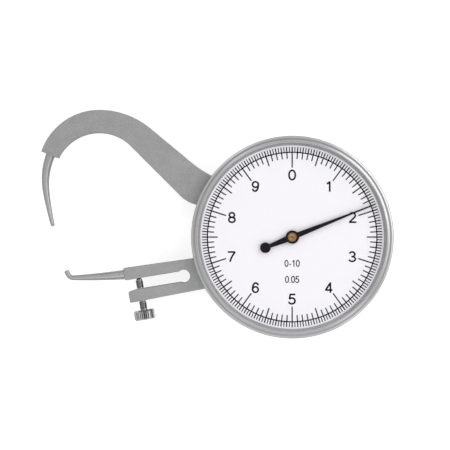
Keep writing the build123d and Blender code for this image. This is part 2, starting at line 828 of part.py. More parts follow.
with BuildPart() as arm_pivot_shaft:
    stepped_bar(arm_pivot, flange_top_z + end_play, [
        (arm_pivot_radius, plate_top_z + end_play),
        (arm_shaft_collar_radius, arm_bottom_z),
        (arm_shaft_radius, bridge_bottom_z - 3 * end_play),
        (arm_pivot_radius, bridge_top_z - end_play),
    ])
finish(arm_pivot_shaft, "arm_pivot_shaft")

# Sector gear: a toothed wedge screwed on the arm's boss
with BuildPart() as sector_gear:
    sector_step = 360 / sector_full_teeth
    teeth_used = math.ceil(closing_swing / sector_step) + 2 * sector_spare_teeth + 1
    first_tooth = sector_spare_teeth + 1 - teeth_used
    low_flank = sector_bearing + first_tooth * sector_step - sector_flank_angle
    high_flank = sector_bearing + sector_spare_teeth * sector_step + sector_flank_angle
    with BuildSketch(Plane.XY.offset(arm_top_z)):
        with Locations(flat(arm_pivot)):
            Circle(arm_boss_radius)
        teeth = gear_points(
            arm_pivot, sector_full_teeth, sector_module, sector_bearing, first_tooth, teeth_used
        )
        low_side = arm_pivot + polar(arm_boss_radius, low_flank)
        high_side = arm_pivot + polar(arm_boss_radius, high_flank)
        with BuildLine():
            Polyline(flat(low_side), *teeth, flat(high_side), close=True)
        make_face()
    extrude(amount=sector_thickness)
    disc(arm_pivot, arm_shaft_radius + seat_gap, arm_top_z, sector_top_z, Mode.SUBTRACT)
    for side in (sector_screw_side, -sector_screw_side):
        disc(arm_pivot + side, small_screw_radius + seat_gap, arm_top_z, sector_top_z, Mode.SUBTRACT)
finish(sector_gear, "sector_gear")

with BuildPart() as sector_screws:
    for side in (sector_screw_side, -sector_screw_side):
        disc(arm_pivot + side, small_screw_radius, arm_top_z - sector_screw_depth, sector_top_z)
        disc(arm_pivot + side, sector_head_radius, sector_top_z, sector_top_z + sector_head_height)
finish(sector_screws, "sector_screws")

# Intermediate arbor: a pinion driven by the sector, and the wheel that it carries
pinion_bottom_z = arm_top_z - pinion_overlap
pinion_top_z = sector_top_z + pinion_overlap
with BuildPart() as intermediate_arbor:
    stepped_bar(intermediate, flange_top_z + end_play, [
        (pivot_radius, plate_top_z + end_play),
        (arbor_radius, bridge_bottom_z - end_play),
        (pivot_radius, bridge_top_z - end_play),
    ])
    leaf_step = 360 / pinion_leaves
    gear_blank(
        intermediate, pinion_leaves, sector_module, sector_bearing + 180 + leaf_step / 2,
        pinion_bottom_z, pinion_top_z,
    )
finish(intermediate_arbor, "intermediate_arbor")

with BuildPart() as intermediate_wheel:
    gear_blank(
        intermediate, train_wheel_teeth, train_module, bearing(intermediate, Vector(0, 0)),
        wheel_bottom_z, wheel_top_z,
    )
    spoke_windows(
        intermediate, train_wheel_teeth * train_module / 2 - wheel_rim, wheel_bottom_z, wheel_top_z
    )
    disc(intermediate, arbor_radius + seat_gap, wheel_bottom_z, wheel_top_z, Mode.SUBTRACT)
finish(intermediate_wheel, "intermediate_wheel")

# Centre arbor: the pinion on the dial axis, which carries the pointer
with BuildPart() as centre_arbor:
    stepped_bar(Vector(0, 0), flange_top_z + end_play, [
        (pivot_radius, plate_top_z + end_play),
        (arbor_radius, bridge_bottom_z - end_play),
        (centre_top_radius, pointer_top_z),
        (centre_tip_radius, hub_top_z - pointer_hub_dimple_depth),
    ])
    gear_blank(
        Vector(0, 0), pinion_leaves, train_module, intermediate_bearing + leaf_step / 2,
        wheel_bottom_z - pinion_overlap, wheel_top_z + pinion_overlap,
    )
finish(centre_arbor, "centre_arbor")

# Take-up wheel with its hairspring, which keeps the train's play to one side
with BuildPart() as take_up_arbor:
    stepped_bar(take_up, flange_top_z + end_play, [
        (pivot_radius, plate_top_z + end_play),
        (arbor_radius, bridge_bottom_z - end_play),
        (pivot_radius, bridge_top_z - end_play),
    ])
finish(take_up_arbor, "take_up_arbor")

with BuildPart() as take_up_wheel:
    gear_blank(
        take_up, take_up_teeth, train_module, bearing(take_up, Vector(0, 0)),
        wheel_bottom_z, wheel_top_z,
    )
    spoke_windows(take_up, take_up_teeth * train_module / 2 - wheel_rim, wheel_bottom_z, wheel_top_z)
    disc(take_up, arbor_radius + seat_gap, wheel_bottom_z, wheel_top_z, Mode.SUBTRACT)
finish(take_up_wheel, "take_up_wheel")

hairspring_z = wheel_top_z + hairspring_above_wheel
collet_z = hairspring_z - (collet_height - hairspring_height) / 2
with BuildPart() as hairspring_collet:
    disc(take_up, collet_radius, collet_z, collet_z + collet_height)
    disc(take_up, arbor_radius + seat_gap, collet_z, collet_z + collet_height, Mode.SUBTRACT)
finish(hairspring_collet, "hairspring_collet")


def spiral_side(offset_out):
    """Draw one side of the hairspring as half circles of growing radius."""
    for index in range(hairspring_half_turns):
        radius = collet_radius + hairspring_pitch / 2 * (index + 1) + offset_out
        shift = hairspring_pitch / 4 * (-1 if index % 2 == 0 else 1)
        start = 0 if index % 2 == 0 else 180
        CenterArc((take_up.X + shift, take_up.Y), radius, start, 180)


with BuildPart() as hairspring:
    with BuildSketch(Plane.XY.offset(hairspring_z)):
        with BuildLine():
            half = hairspring_thickness / 2
            spiral_side(half)
            spiral_side(-half)
            inner_start = take_up.X + collet_radius + hairspring_pitch / 4
            Line((inner_start - half, take_up.Y), (inner_start + half, take_up.Y))
            spiral_sign = 1 if hairspring_half_turns % 2 == 0 else -1
            spiral_radius = collet_radius + hairspring_pitch / 2 * hairspring_half_turns
            outer_end = take_up.X + spiral_sign * (spiral_radius + hairspring_pitch / 4)
            Line((outer_end - half, take_up.Y), (outer_end + half, take_up.Y))
        make_face()
    extrude(amount=hairspring_height)
finish(hairspring, "hairspring")

with BuildPart() as hairspring_stud:
    stud_place = Vector(outer_end + spiral_sign * (stud_radius + half + end_play), take_up.Y)
    disc(stud_place, stud_radius, hairspring_z - end_play, bridge_bottom_z)
finish(hairspring_stud, "hairspring_stud")

# Return spring: a leaf held in a slotted post, which pushes the moving arm open
leaf_start = Vector(leaf_post_inset - case_radius, leaf_post_rise)
leaf_end = root_end + (boss_bottom - root_end) * leaf_touch_share
leaf_end = leaf_end + Vector(0, -leaf_thickness / 2 - end_play)
leaf_middle = (leaf_start + leaf_end) * 0.5
leaf_normal = polar(1, bearing(leaf_start, leaf_end) + 90)
leaf_bow = leaf_middle + leaf_normal * leaf_sag
leaf_z = arm_mid_z - leaf_height / 2
with BuildPart() as return_spring:
    with BuildSketch(Plane.XY.offset(leaf_z)):
        with BuildLine():
            ThreePointArc(flat(leaf_start), flat(leaf_bow), flat(leaf_end))
        trace(line_width=leaf_thickness)
    extrude(amount=leaf_height)
finish(return_spring, "return_spring")

with BuildPart() as spring_post:
    disc(leaf_start, leaf_post_radius, plate_top_z, arm_top_z)
    with BuildSketch(Plane.XY.offset(leaf_z - seat_gap)):
        with BuildLine():
            ThreePointArc(flat(leaf_start), flat(leaf_bow), flat(leaf_end))
        trace(line_width=leaf_thickness + 2 * seat_gap)
    extrude(amount=leaf_height + 2 * seat_gap, mode=Mode.SUBTRACT)
finish(spring_post, "spring_post")

# Stop pin: the open arm rests against it
with BuildPart() as stop_pin:
    stop_touch = boss_top + polar(stop_from_boss, bearing(boss_top, flare_end))
    stop_normal = polar(1, bearing(flare_end, boss_top) + 90)
    stop_place = stop_touch + stop_normal * (stop_pin_radius + end_play)
    disc(stop_place, stop_pin_radius, plate_top_z, plate_top_z + stop_pin_height)
finish(stop_pin, "stop_pin")

# Pointer, at the reading that the open gap gives
pointer_angle = 90 - 360 * open_gap / turn_reading
pointer_plane = Plane(
    origin=(0, 0, pointer_bottom_z),
    x_dir=(polar(1, pointer_angle).X, polar(1, pointer_angle).Y, 0),
    z_dir=(0, 0, 1),
)
with BuildPart() as pointer:
    with BuildSketch(pointer_plane):
        with BuildLine():
            Polyline(
                (0, pointer_root_width / 2),
                (pointer_needle_start, pointer_needle_width / 2),
                (pointer_length, pointer_tip_width / 2),
                (pointer_length, -pointer_tip_width / 2),
                (pointer_needle_start, -pointer_needle_width / 2),
                (0, -pointer_root_width / 2),
                (0, -pointer_tail_root_width / 2),
                (-pointer_tail_length, -pointer_tail_width / 2),
                (-pointer_tail_length, pointer_tail_width / 2),
                (0, pointer_tail_root_width / 2),
                close=True,
            )
        make_face()
        Circle(pointer_boss_radius)
        with Locations((-pointer_tail_length, 0)):
            Circle(pointer_tail_disc_radius)
        Circle(pointer_hub_body_radius + seat_gap, mode=Mode.SUBTRACT)
    extrude(amount=pointer_thickness)
finish(pointer, "pointer")

with BuildPart() as pointer_hub:
    hub_bottom_z = dial_top_z + end_play
    stepped_bar(Vector(0, 0), hub_bottom_z, [
        (pointer_hub_foot_radius, pointer_bottom_z),
        (pointer_hub_body_radius, pointer_top_z),
        (pointer_hub_radius, hub_top_z),
    ])
    shoulder_z = pointer_top_z + seat_gap
    disc(Vector(0, 0), centre_top_radius + seat_gap, hub_bottom_z, shoulder_z, Mode.SUBTRACT)
    chamfer(pointer_hub.edges().filter_by(GeomType.CIRCLE).group_by(Axis.Z)[-1], pointer_hub_chamfer)
    disc(Vector(0, 0), centre_tip_radius + seat_gap, shoulder_z, hub_top_z, Mode.SUBTRACT)
    # The hub's face is dished towards the arbor's riveted end
    with Locations((0, 0, hub_top_z - pointer_hub_dish_depth / 2)):
        Cone(centre_tip_radius, pointer_hub_dish_radius, pointer_hub_dish_depth, mode=Mode.SUBTRACT)
finish(pointer_hub, "pointer_hub")

# Adjusting screw: knurled head, plain shank and a point that bears on the upper prong
with BuildPart() as adjusting_screw:
    screw_plane = Plane(
        origin=level(fork_point(-screw_from_keyhole, slot_half_width - end_play), arm_mid_z),
        x_dir=(0, 0, 1),
        z_dir=-fork_across,
    )
    shank_length = slot_half_width - end_play + screw_head_from_slot
    head_end = shank_length + screw_head_height
    with BuildSketch(screw_plane):
        Circle(screw_shank_radius)
    extrude(amount=shank_length)
    point_edge = adjusting_screw.edges().filter_by(GeomType.CIRCLE).sort_by(Axis.Y)[-1]
    chamfer(point_edge, screw_shank_radius - screw_tip_radius)
    with BuildSketch(screw_plane.offset(shank_length)):
        Circle(screw_head_radius)
    extrude(amount=screw_head_height)
    head_edges = adjusting_screw.edges().filter_by(GeomType.CIRCLE).group_by(SortBy.RADIUS)[-1]
    chamfer(head_edges, screw_head_chamfer)
    with BuildSketch(screw_plane.offset(shank_length)):
        with PolarLocations(screw_head_radius, knurl_count):
            RegularPolygon(knurl_depth, 4)
    extrude(amount=screw_head_height, mode=Mode.SUBTRACT)
finish(adjusting_screw, "adjusting_screw")
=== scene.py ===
"""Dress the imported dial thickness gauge: finishes, dial print, added pieces, light and camera."""

from __future__ import annotations

import json
import logging
import math
from dataclasses import dataclass, field
from enum import Enum

import bmesh
import bpy
from mathutils import Matrix, Vector

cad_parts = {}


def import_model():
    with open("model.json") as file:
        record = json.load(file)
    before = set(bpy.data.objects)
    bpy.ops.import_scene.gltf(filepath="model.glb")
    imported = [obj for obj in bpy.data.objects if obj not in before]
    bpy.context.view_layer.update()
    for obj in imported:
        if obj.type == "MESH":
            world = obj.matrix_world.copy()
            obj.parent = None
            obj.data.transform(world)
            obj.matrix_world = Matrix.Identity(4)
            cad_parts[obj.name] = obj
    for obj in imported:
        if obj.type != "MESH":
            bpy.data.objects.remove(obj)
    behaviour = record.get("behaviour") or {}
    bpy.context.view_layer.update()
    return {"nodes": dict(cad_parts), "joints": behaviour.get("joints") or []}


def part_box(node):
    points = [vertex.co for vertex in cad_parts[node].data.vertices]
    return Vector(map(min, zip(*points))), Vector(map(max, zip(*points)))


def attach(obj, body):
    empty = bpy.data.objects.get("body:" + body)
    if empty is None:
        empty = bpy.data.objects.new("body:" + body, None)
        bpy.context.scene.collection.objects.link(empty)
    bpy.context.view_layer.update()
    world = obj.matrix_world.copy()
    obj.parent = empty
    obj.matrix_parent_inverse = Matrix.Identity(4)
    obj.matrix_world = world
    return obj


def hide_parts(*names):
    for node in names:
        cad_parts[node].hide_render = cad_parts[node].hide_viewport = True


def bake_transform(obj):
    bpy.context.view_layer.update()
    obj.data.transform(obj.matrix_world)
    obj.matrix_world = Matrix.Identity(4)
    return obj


LOG = logging.getLogger("dial_gauge")
MM = 0.001
NODE_SPACING = 190
SHARP_ANGLE = 50.0
TONE_LIMITS = (0.3, 0.7)
ARC_STEP = 12
ZERO_ANGLE = 90

Colour = tuple[float, float, float]
Sockets = dict[str, bpy.types.NodeSocket]


class Body(Enum):
    """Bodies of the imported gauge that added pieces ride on."""

    CASE = "gauge_body"
    ARM = "measuring_arm"
    SCREW = "setting_screw"
    POINTER_AXLE = "pointer_axle"


class Slot(Enum):
    """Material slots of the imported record."""

    CASE = "case_metal"
    BEZEL = "bezel_metal"
    DIAL_RING = "dial_ring_metal"
    CRYSTAL = "crystal_glass"
    DIAL = "dial_white"
    PLATE = "plate_brass"
    BUSH = "bush_bronze"
    GEAR = "gear_brass"
    ARBOR = "arbor_steel"
    SPRING = "spring_steel"
    SMALL_SCREW = "small_screws"
    ARM = "arm_steel"
    CONTACT = "contact_steel"
    THUMB_SCREW = "adjusting_screw_chrome"
    POINTER = "pointer_black"
    HUB = "pointer_brass"


class Grain(Enum):
    """Surface pattern that a machining or finishing step leaves on metal."""

    BLASTED = "bead blasted"
    TURNED = "turned rings about the dial axis"
    BRUSHED = "brushed along X"
    POLISHED = "polished"


def srgb(red: float, green: float, blue: float) -> Colour:
    """Turn a colour of 0 to 255 as seen on a screen into linear light.

    Args:
        red: Red, 0 to 255.
        green: Green, 0 to 255.
        blue: Blue, 0 to 255.

    Returns:
        The linear colour.
    """
    def channel(value: float) -> float:
        share = value / 255
        return share / 12.92 if share <= 0.04045 else ((share + 0.055) / 1.055) ** 2.4

    return channel(red), channel(green), channel(blue)


def polar(radius: float, angle: float, height: float = 0.0) -> Vector:
    """Return a point at a radius and an angle about the dial axis.

    Args:
        radius: Distance from the axis, in metres.
        angle: Angle from +X, in degrees, counter-clockwise.
        height: Height along the axis, in metres.

    Returns:
        The point.
    """
    turn = math.radians(angle)
    return Vector((radius * math.cos(turn), radius * math.sin(turn), height))


class Graph:
    """A shader node tree that is filled node by node."""

    def __init__(self, tree: bpy.types.NodeTree) -> None:
        """Keep the tree and start at its left side.

        Args:
            tree: The tree to fill.
        """
        self.tree = tree
        self.column = 0

    def add(self, kind: str, label: str = "", **settings: object) -> bpy.types.Node:
        """Add a node and set its properties.

        Args:
            kind: Blender's name of the node type.
            label: Plain words shown on the node.
            settings: Node properties by name.

        Returns:
            The new node.
        """
        node = self.tree.nodes.new(kind)
        node.label = label
        node.location = (self.column * NODE_SPACING, 0)
        self.column += 1
        for name, value in settings.items():
            setattr(node, name, value)
        return node

    def join(self, source: bpy.types.NodeSocket, target: bpy.types.NodeSocket) -> None:
        """Link an output to an input."""
        self.tree.links.new(source, target)

    def feed(self, target: bpy.types.NodeSocket, value: object) -> None:
        """Give an input a link if the value is a socket, and a plain value otherwise."""
        if isinstance(value, bpy.types.NodeSocket):
            self.join(value, target)
        else:
            target.default_value = value

    def math(
        self, operation: str, first: object, second: object = 0.0, third: object = 0.0
    ) -> bpy.types.NodeSocket:
        """Add a math node.

        Args:
            operation: Blender's name of the operation.
            first: First number or socket.
            second: Second number or socket.
            third: Third number or socket.

        Returns:
            The node's result.
        """
        node = self.add("ShaderNodeMath", operation=operation)
        for target, value in zip(node.inputs, (first, second, third)):
            self.feed(target, value)
        return node.outputs[0]

    def remap(
        self, value: object, low: object, high: object, new_low: float = 0.0, new_high: float = 1.0
    ) -> bpy.types.NodeSocket:
        """Map a range of numbers to another, clamped.

        Args:
            value: The number to map.
            low: Start of the known range.
            high: End of the known range.
            new_low: What the start becomes.
            new_high: What the end becomes.

        Returns:
            The mapped number.
        """
        node = self.add("ShaderNodeMapRange")
        for target, item in zip(node.inputs, (value, low, high, new_low, new_high)):
            self.feed(target, item)
        return node.outputs[0]

    def blend(self, share: object, first: object, second: object) -> bpy.types.NodeSocket:
        """Mix two colours.

        Args:
            share: Share of the second colour.
            first: First colour or socket.
            second: Second colour or socket.

        Returns:
            The mixed colour.
        """
        node = self.add("ShaderNodeMix", data_type="RGBA")
        for name, value in (("Factor_Float", share), ("A_Color", first), ("B_Color", second)):
            target = next(socket for socket in node.inputs if socket.identifier == name)
            self.feed(target, value if not isinstance(value, tuple) else (*value[:3], 1.0))
        return next(socket for socket in node.outputs if socket.identifier == "Result_Color")

    def noise(self, place: bpy.types.NodeSocket, scale: object, detail: float) -> bpy.types.NodeSocket:
        """Add a noise texture and return its value of 0 to 1."""
        node = self.add("ShaderNodeTexNoise")
        node.inputs["Detail"].default_value = detail
        self.join(place, node.inputs["Vector"])
        self.feed(node.inputs["Scale"], scale)
        return node.outputs["Fac"]


class EffectGroup:
    """A shader node group with named inputs and outputs, built once and placed in many materials."""

    name = "effect"
    inputs: tuple[tuple[str, float], ...] = ()
    outputs: tuple[str, ...] = ()

    def __init__(self) -> None:
        """Make the group's sockets and fill it."""
        kind = "NodeSocketFloat"
        self.tree = bpy.data.node_groups.new(self.name, "ShaderNodeTree")
        for name, value in self.inputs:
            socket = self.tree.interface.new_socket(name=name, in_out="INPUT", socket_type=kind)
            socket.default_value = value
        for name in self.outputs:
            self.tree.interface.new_socket(name=name, in_out="OUTPUT", socket_type=kind)
        graph = Graph(self.tree)
        start = graph.add("NodeGroupInput")
        made = self.fill(graph, {name: start.outputs[name] for name, _ in self.inputs})
        end = graph.add("NodeGroupOutput")
        for name in self.outputs:
            graph.join(made[name], end.inputs[name])

    def fill(self, graph: Graph, given: Sockets) -> Sockets:
        """Build the effect.

        Args:
            graph: The group's graph.
            given: The group's inputs by name.

        Returns:
            The sockets to put out, by output name.
        """
        raise NotImplementedError

    def place(self, graph: Graph, **values: float) -> bpy.types.Node:
        """Place this group in a material.

        Args:
            graph: The material's graph.
            values: The group's inputs by name, with _ for a space.

        Returns:
            The placed group node.
        """
        node = graph.add("ShaderNodeGroup", self.name, node_tree=self.tree)
        for name, value in values.items():
            node.inputs[name.replace("_", " ")].default_value = value
        return node


def object_place(graph: Graph) -> bpy.types.NodeSocket:
    """Return the point of the surface in the gauge's own frame, in metres."""
    return graph.add("ShaderNodeTexCoord").outputs["Object"]


def dial_radius(graph: Graph, split: bpy.types.Node) -> bpy.types.NodeSocket:
    """Return the distance from the dial axis of a place that is split into X, Y and Z."""
    square = graph.math("MULTIPLY", split.outputs["X"], split.outputs["X"])
    both = graph.math("MULTIPLY_ADD", split.outputs["Y"], split.outputs["Y"], square)
    return graph.math("SQRT", both)


class BlastedGrain(EffectGroup):
    """The fine matt grain of bead-blasted steel, with a faint cloudy tone of a few millimetres."""

    name = "blasted grain"
    inputs = (("Grain Size", 0.15), ("Cloud Size", 3.0))
    outputs = ("Height", "Tone")
    fine_detail = 3.0
    cloud_detail = 4.0
    fine_share = 0.7

    def fill(self, graph: Graph, given: Sockets) -> Sockets:
        """Build the grain from a fine and a coarse noise."""
        place = object_place(graph)
        fine_scale = graph.math("DIVIDE", 1 / MM, given["Grain Size"])
        cloud_scale = graph.math("DIVIDE", 1 / MM, given["Cloud Size"])
        fine = graph.noise(place, fine_scale, self.fine_detail)
        cloud = graph.noise(place, cloud_scale, self.cloud_detail)
        cloud_part = graph.math("MULTIPLY", cloud, 1 - self.fine_share)
        return {"Height": fine, "Tone": graph.math("MULTIPLY_ADD", fine, self.fine_share, cloud_part)}


class TurnedRings(EffectGroup):
    """Fine rings that a lathe leaves about the dial axis, uneven from ring to ring."""

    name = "turned rings"
    inputs = (("Ring Pitch", 0.12),)
    outputs = ("Height", "Tone")
    broad_scale = 0.12
    fine_share = 0.6

    def fill(self, graph: Graph, given: Sockets) -> Sockets:
        """Build the rings from one-dimensional noise over radius and height."""
        split = graph.add("ShaderNodeSeparateXYZ")
        graph.join(object_place(graph), split.inputs[0])
        across = graph.math("ADD", dial_radius(graph, split), split.outputs["Z"])
        scale = graph.math("DIVIDE", 1 / MM, given["Ring Pitch"])
        fine = graph.add("ShaderNodeTexNoise", noise_dimensions="1D")
        graph.join(graph.math("MULTIPLY", across, scale), fine.inputs["W"])
        fine.inputs["Scale"].default_value = 1.0
        broad = graph.add("ShaderNodeTexNoise", noise_dimensions="1D")
        wide = graph.math("MULTIPLY", scale, self.broad_scale)
        graph.join(graph.math("MULTIPLY", across, wide), broad.inputs["W"])
        broad.inputs["Scale"].default_value = 1.0
        broad_part = graph.math("MULTIPLY", broad.outputs["Fac"], 1 - self.fine_share)
        tone = graph.math("MULTIPLY_ADD", fine.outputs["Fac"], self.fine_share, broad_part)
        return {"Height": fine.outputs["Fac"], "Tone": tone}


class BrushedLines(EffectGroup):
    """Long fine lines along X, as fine emery paper leaves them."""

    name = "brushed lines"
    inputs = (("Line Width", 0.08), ("Line Length", 6.0))
    outputs = ("Height", "Tone")
    detail = 2.0

    def fill(self, graph: Graph, given: Sockets) -> Sockets:
        """Build the lines from noise stretched along X."""
        split = graph.add("ShaderNodeSeparateXYZ")
        graph.join(object_place(graph), split.inputs[0])
        merge = graph.add("ShaderNodeCombineXYZ")
        along = graph.math("DIVIDE", 1 / MM, given["Line Length"])
        across = graph.math("DIVIDE", 1 / MM, given["Line Width"])
        graph.join(graph.math("MULTIPLY", split.outputs["X"], along), merge.inputs["X"])
        graph.join(graph.math("MULTIPLY", split.outputs["Y"], across), merge.inputs["Y"])
        graph.join(graph.math("MULTIPLY", split.outputs["Z"], across), merge.inputs["Z"])
        lines = graph.noise(merge.outputs[0], 1.0, self.detail)
        return {"Height": lines, "Tone": lines}


class HandlingMarks(EffectGroup):
    """A mask of faint smears that handling leaves."""

    name = "handling marks"
    inputs = (("Smear Size", 6.0), ("Smear Share", 0.5))
    outputs = ("Smear",)
    detail = 5.0
    bare_level = 0.75
    level_fall = 0.5
    softness = 0.2

    def fill(self, graph: Graph, given: Sockets) -> Sockets:
        """Build the smears from the higher parts of a soft noise."""
        place = object_place(graph)
        scale = graph.math("DIVIDE", 1 / MM, given["Smear Size"])
        soft = graph.noise(place, scale, self.detail)
        fall = graph.math("MULTIPLY", given["Smear Share"], self.level_fall)
        low = graph.math("SUBTRACT", self.bare_level, fall)
        return {"Smear": graph.remap(soft, low, graph.math("ADD", low, self.softness))}


class EdgeWear(EffectGroup):
    """A mask of edges that hands and use have brightened."""

    name = "edge wear"
    inputs = (("Edge Width", 0.25), ("Edge Start", 0.02))
    outputs = ("Edge",)
    samples = 6
    softness = 0.12

    def fill(self, graph: Graph, given: Sockets) -> Sockets:
        """Compare the true normal with one rounded over the edge's width."""
        soft = graph.add("ShaderNodeBevel", samples=self.samples)
        graph.join(graph.math("MULTIPLY", given["Edge Width"], MM), soft.inputs["Radius"])
        true = graph.add("ShaderNodeNewGeometry")
        dot = graph.add("ShaderNodeVectorMath", operation="DOT_PRODUCT")
        graph.join(soft.outputs["Normal"], dot.inputs[0])
        graph.join(true.outputs["Normal"], dot.inputs[1])
        bent = graph.math("SUBTRACT", 1.0, dot.outputs["Value"])
        far = graph.math("ADD", given["Edge Start"], self.softness)
        return {"Edge": graph.remap(bent, given["Edge Start"], far)}


class CavityShade(EffectGroup):
    """A mask of a piece's own grooves and corners, used to paint shade into its colour there."""

    name = "painted cavity shade"
    inputs = (("Reach", 0.4),)
    outputs = ("Cavity",)
    samples = 8
    open_level = 0.95
    closed_level = 0.45

    def fill(self, graph: Graph, given: Sockets) -> Sockets:
        """Read how closed in a point is by its own piece."""
        # Painted shade: how closed in a point is becomes a darkening of the colour
        open_sky = graph.add("ShaderNodeAmbientOcclusion", samples=self.samples, only_local=True)
        graph.join(graph.math("MULTIPLY", given["Reach"], MM), open_sky.inputs["Distance"])
        return {"Cavity": graph.remap(open_sky.outputs["AO"], self.open_level, self.closed_level)}


class DullStep(EffectGroup):
    """A mask of one turned step between two radii in millimetres, where shade is painted into the
    colour.
    """

    name = "dull step"
    inputs = (("Inner Radius", 24.0), ("Outer Radius", 24.7), ("Softness", 0.06))
    outputs = ("Step",)

    def fill(self, graph: Graph, given: Sockets) -> Sockets:
        """Keep what lies between the two radii."""
        split = graph.add("ShaderNodeSeparateXYZ")
        graph.join(object_place(graph), split.inputs[0])
        radius = graph.math("MULTIPLY", dial_radius(graph, split), 1 / MM)
        inner_end = graph.math("ADD", given["Inner Radius"], given["Softness"])
        outer_end = graph.math("ADD", given["Outer Radius"], given["Softness"])
        outside = graph.remap(radius, given["Inner Radius"], inner_end)
        inside = graph.remap(radius, given["Outer Radius"], outer_end, 1.0, 0.0)
        return {"Step": graph.math("MULTIPLY", outside, inside)}


@dataclass
class Effects:
    """The shared node groups."""

    blasted: BlastedGrain = field(default_factory=BlastedGrain)
    turned: TurnedRings = field(default_factory=TurnedRings)
    brushed: BrushedLines = field(default_factory=BrushedLines)
    handling: HandlingMarks = field(default_factory=HandlingMarks)
    edges: EdgeWear = field(default_factory=EdgeWear)
    cavities: CavityShade = field(default_factory=CavityShade)
    dull: DullStep = field(default_factory=DullStep)

    def grain(self, graph: Graph, kind: Grain, size: float) -> bpy.types.Node:
        """Place the group of a grain.

        Args:
            graph: The material's graph.
            kind: The grain.
            size: Its size, pitch or width, in millimetres.

        Returns:
            The placed node, with Height and Tone.
        """
        if kind is Grain.TURNED:
            return self.turned.place(graph, Ring_Pitch=size)
        if kind is Grain.BRUSHED:
            return self.brushed.place(graph, Line_Width=size)
        return self.blasted.place(graph, Grain_Size=size)


@dataclass(frozen=True)
class MetalFinish:
    """A metal with its grain, its brightened edges, its handling marks and painted shade in its
    hollows.

    Grain sizes, depths and radii are in millimetres.
    """

    name: str
    colour: Colour
    roughness: float
    grain: Grain
    grain_size: float
    grain_depth: float
    tone_spread: float
    edge_gain: float = 0.25
    smear_share: float = 0.35
    smear_roughness: float = 0.06
    # Painted shade: share by which the colour is darkened in the piece's own hollows and corners
    cavity_loss: float = 0.35
    grazing_tint: float = 0.55
    # Painted shade: an optional band between two radii, in millimetres, darkened by the share below
    dull_step: tuple[float, float] | None = None
    dull_loss: float = 0.2

    def make(self, effects: Effects) -> bpy.types.Material:
        """Build the material.

        Args:
            effects: The shared node groups.

        Returns:
            The material.
        """
        material, graph, shader = new_material(self.name)
        grain = effects.grain(graph, self.grain, self.grain_size)
        marks = effects.handling.place(graph, Smear_Share=self.smear_share)
        wear = effects.edges.place(graph)
        low = 1 - self.tone_spread
        high = 1 + self.tone_spread
        dark = tuple(value * low for value in self.colour)
        light = tuple(min(1.0, value * high) for value in self.colour)
        bright = tuple(min(1.0, value * (1 + self.edge_gain)) for value in self.colour)
        toned = graph.blend(graph.remap(grain.outputs["Tone"], *TONE_LIMITS), dark, light)
        worn = graph.blend(wear.outputs["Edge"], toned, bright)
        # Painted shade: the colour is darkened in hollows and corners, and on the optional band
        closed = effects.cavities.place(graph)
        kept = graph.math("MULTIPLY_ADD", closed.outputs["Cavity"], -self.cavity_loss, 1.0)
        if self.dull_step:
            inner, outer = self.dull_step
            step = effects.dull.place(graph, Inner_Radius=inner, Outer_Radius=outer)
            step_kept = graph.math("MULTIPLY_ADD", step.outputs["Step"], -self.dull_loss, 1.0)
            kept = graph.math("MULTIPLY", kept, step_kept)
        shade = graph.add("ShaderNodeVectorMath", operation="SCALE")
        graph.join(worn, shade.inputs[0])
        graph.join(kept, shade.inputs["Scale"])
        graph.join(shade.outputs[0], shader.inputs["Base Color"])
        shader.inputs["Metallic"].default_value = 1.0
        shader.inputs["Specular Tint"].default_value = (self.grazing_tint,) * 3 + (1.0,)
        rough = graph.math("MULTIPLY_ADD", grain.outputs["Tone"], self.smear_roughness, self.roughness)
        smeared = graph.math("MULTIPLY_ADD", marks.outputs["Smear"], self.smear_roughness, rough)
        graph.join(smeared, shader.inputs["Roughness"])
        if self.grain is not Grain.POLISHED:
            relief = graph.add("ShaderNodeBump")
            relief.inputs["Strength"].default_value = 1.0
            relief.inputs["Distance"].default_value = self.grain_depth * MM
            graph.join(grain.outputs["Height"], relief.inputs["Height"])
            graph.join(relief.outputs["Normal"], shader.inputs["Normal"])
        return material


@dataclass(frozen=True)
class CoatedFinish:
    """Paint, enamel, lacquer or printing ink, with a faint unevenness."""

    name: str
    colour: Colour
    roughness: float
    grain_size: float = 0.2
    grain_depth: float = 0.002
    tone_spread: float = 0.015
    gloss: float = 0.5
    smear_size: float = 9.0
    smear_share: float = 0.3
    smear_roughness: float = 0.05

    def make(self, effects: Effects) -> bpy.types.Material:
        """Build the material.

        Args:
            effects: The shared node groups.

        Returns:
            The material.
        """
        material, graph, shader = new_material(self.name)
        grain = effects.grain(graph, Grain.BLASTED, self.grain_size)
        marks = effects.handling.place(graph, Smear_Size=self.smear_size, Smear_Share=self.smear_share)
        dark = tuple(value * (1 - self.tone_spread) for value in self.colour)
        light = tuple(min(1.0, value * (1 + self.tone_spread)) for value in self.colour)
        share = graph.remap(grain.outputs["Tone"], *TONE_LIMITS)
        graph.join(graph.blend(share, dark, light), shader.inputs["Base Color"])
        rough = graph.math("MULTIPLY_ADD", marks.outputs["Smear"], self.smear_roughness, self.roughness)
        graph.join(rough, shader.inputs["Roughness"])
        shader.inputs["Specular IOR Level"].default_value = self.gloss
        relief = graph.add("ShaderNodeBump")
        relief.inputs["Distance"].default_value = self.grain_depth * MM
        graph.join(grain.outputs["Height"], relief.inputs["Height"])
        graph.join(relief.outputs["Normal"], shader.inputs["Normal"])
        return material


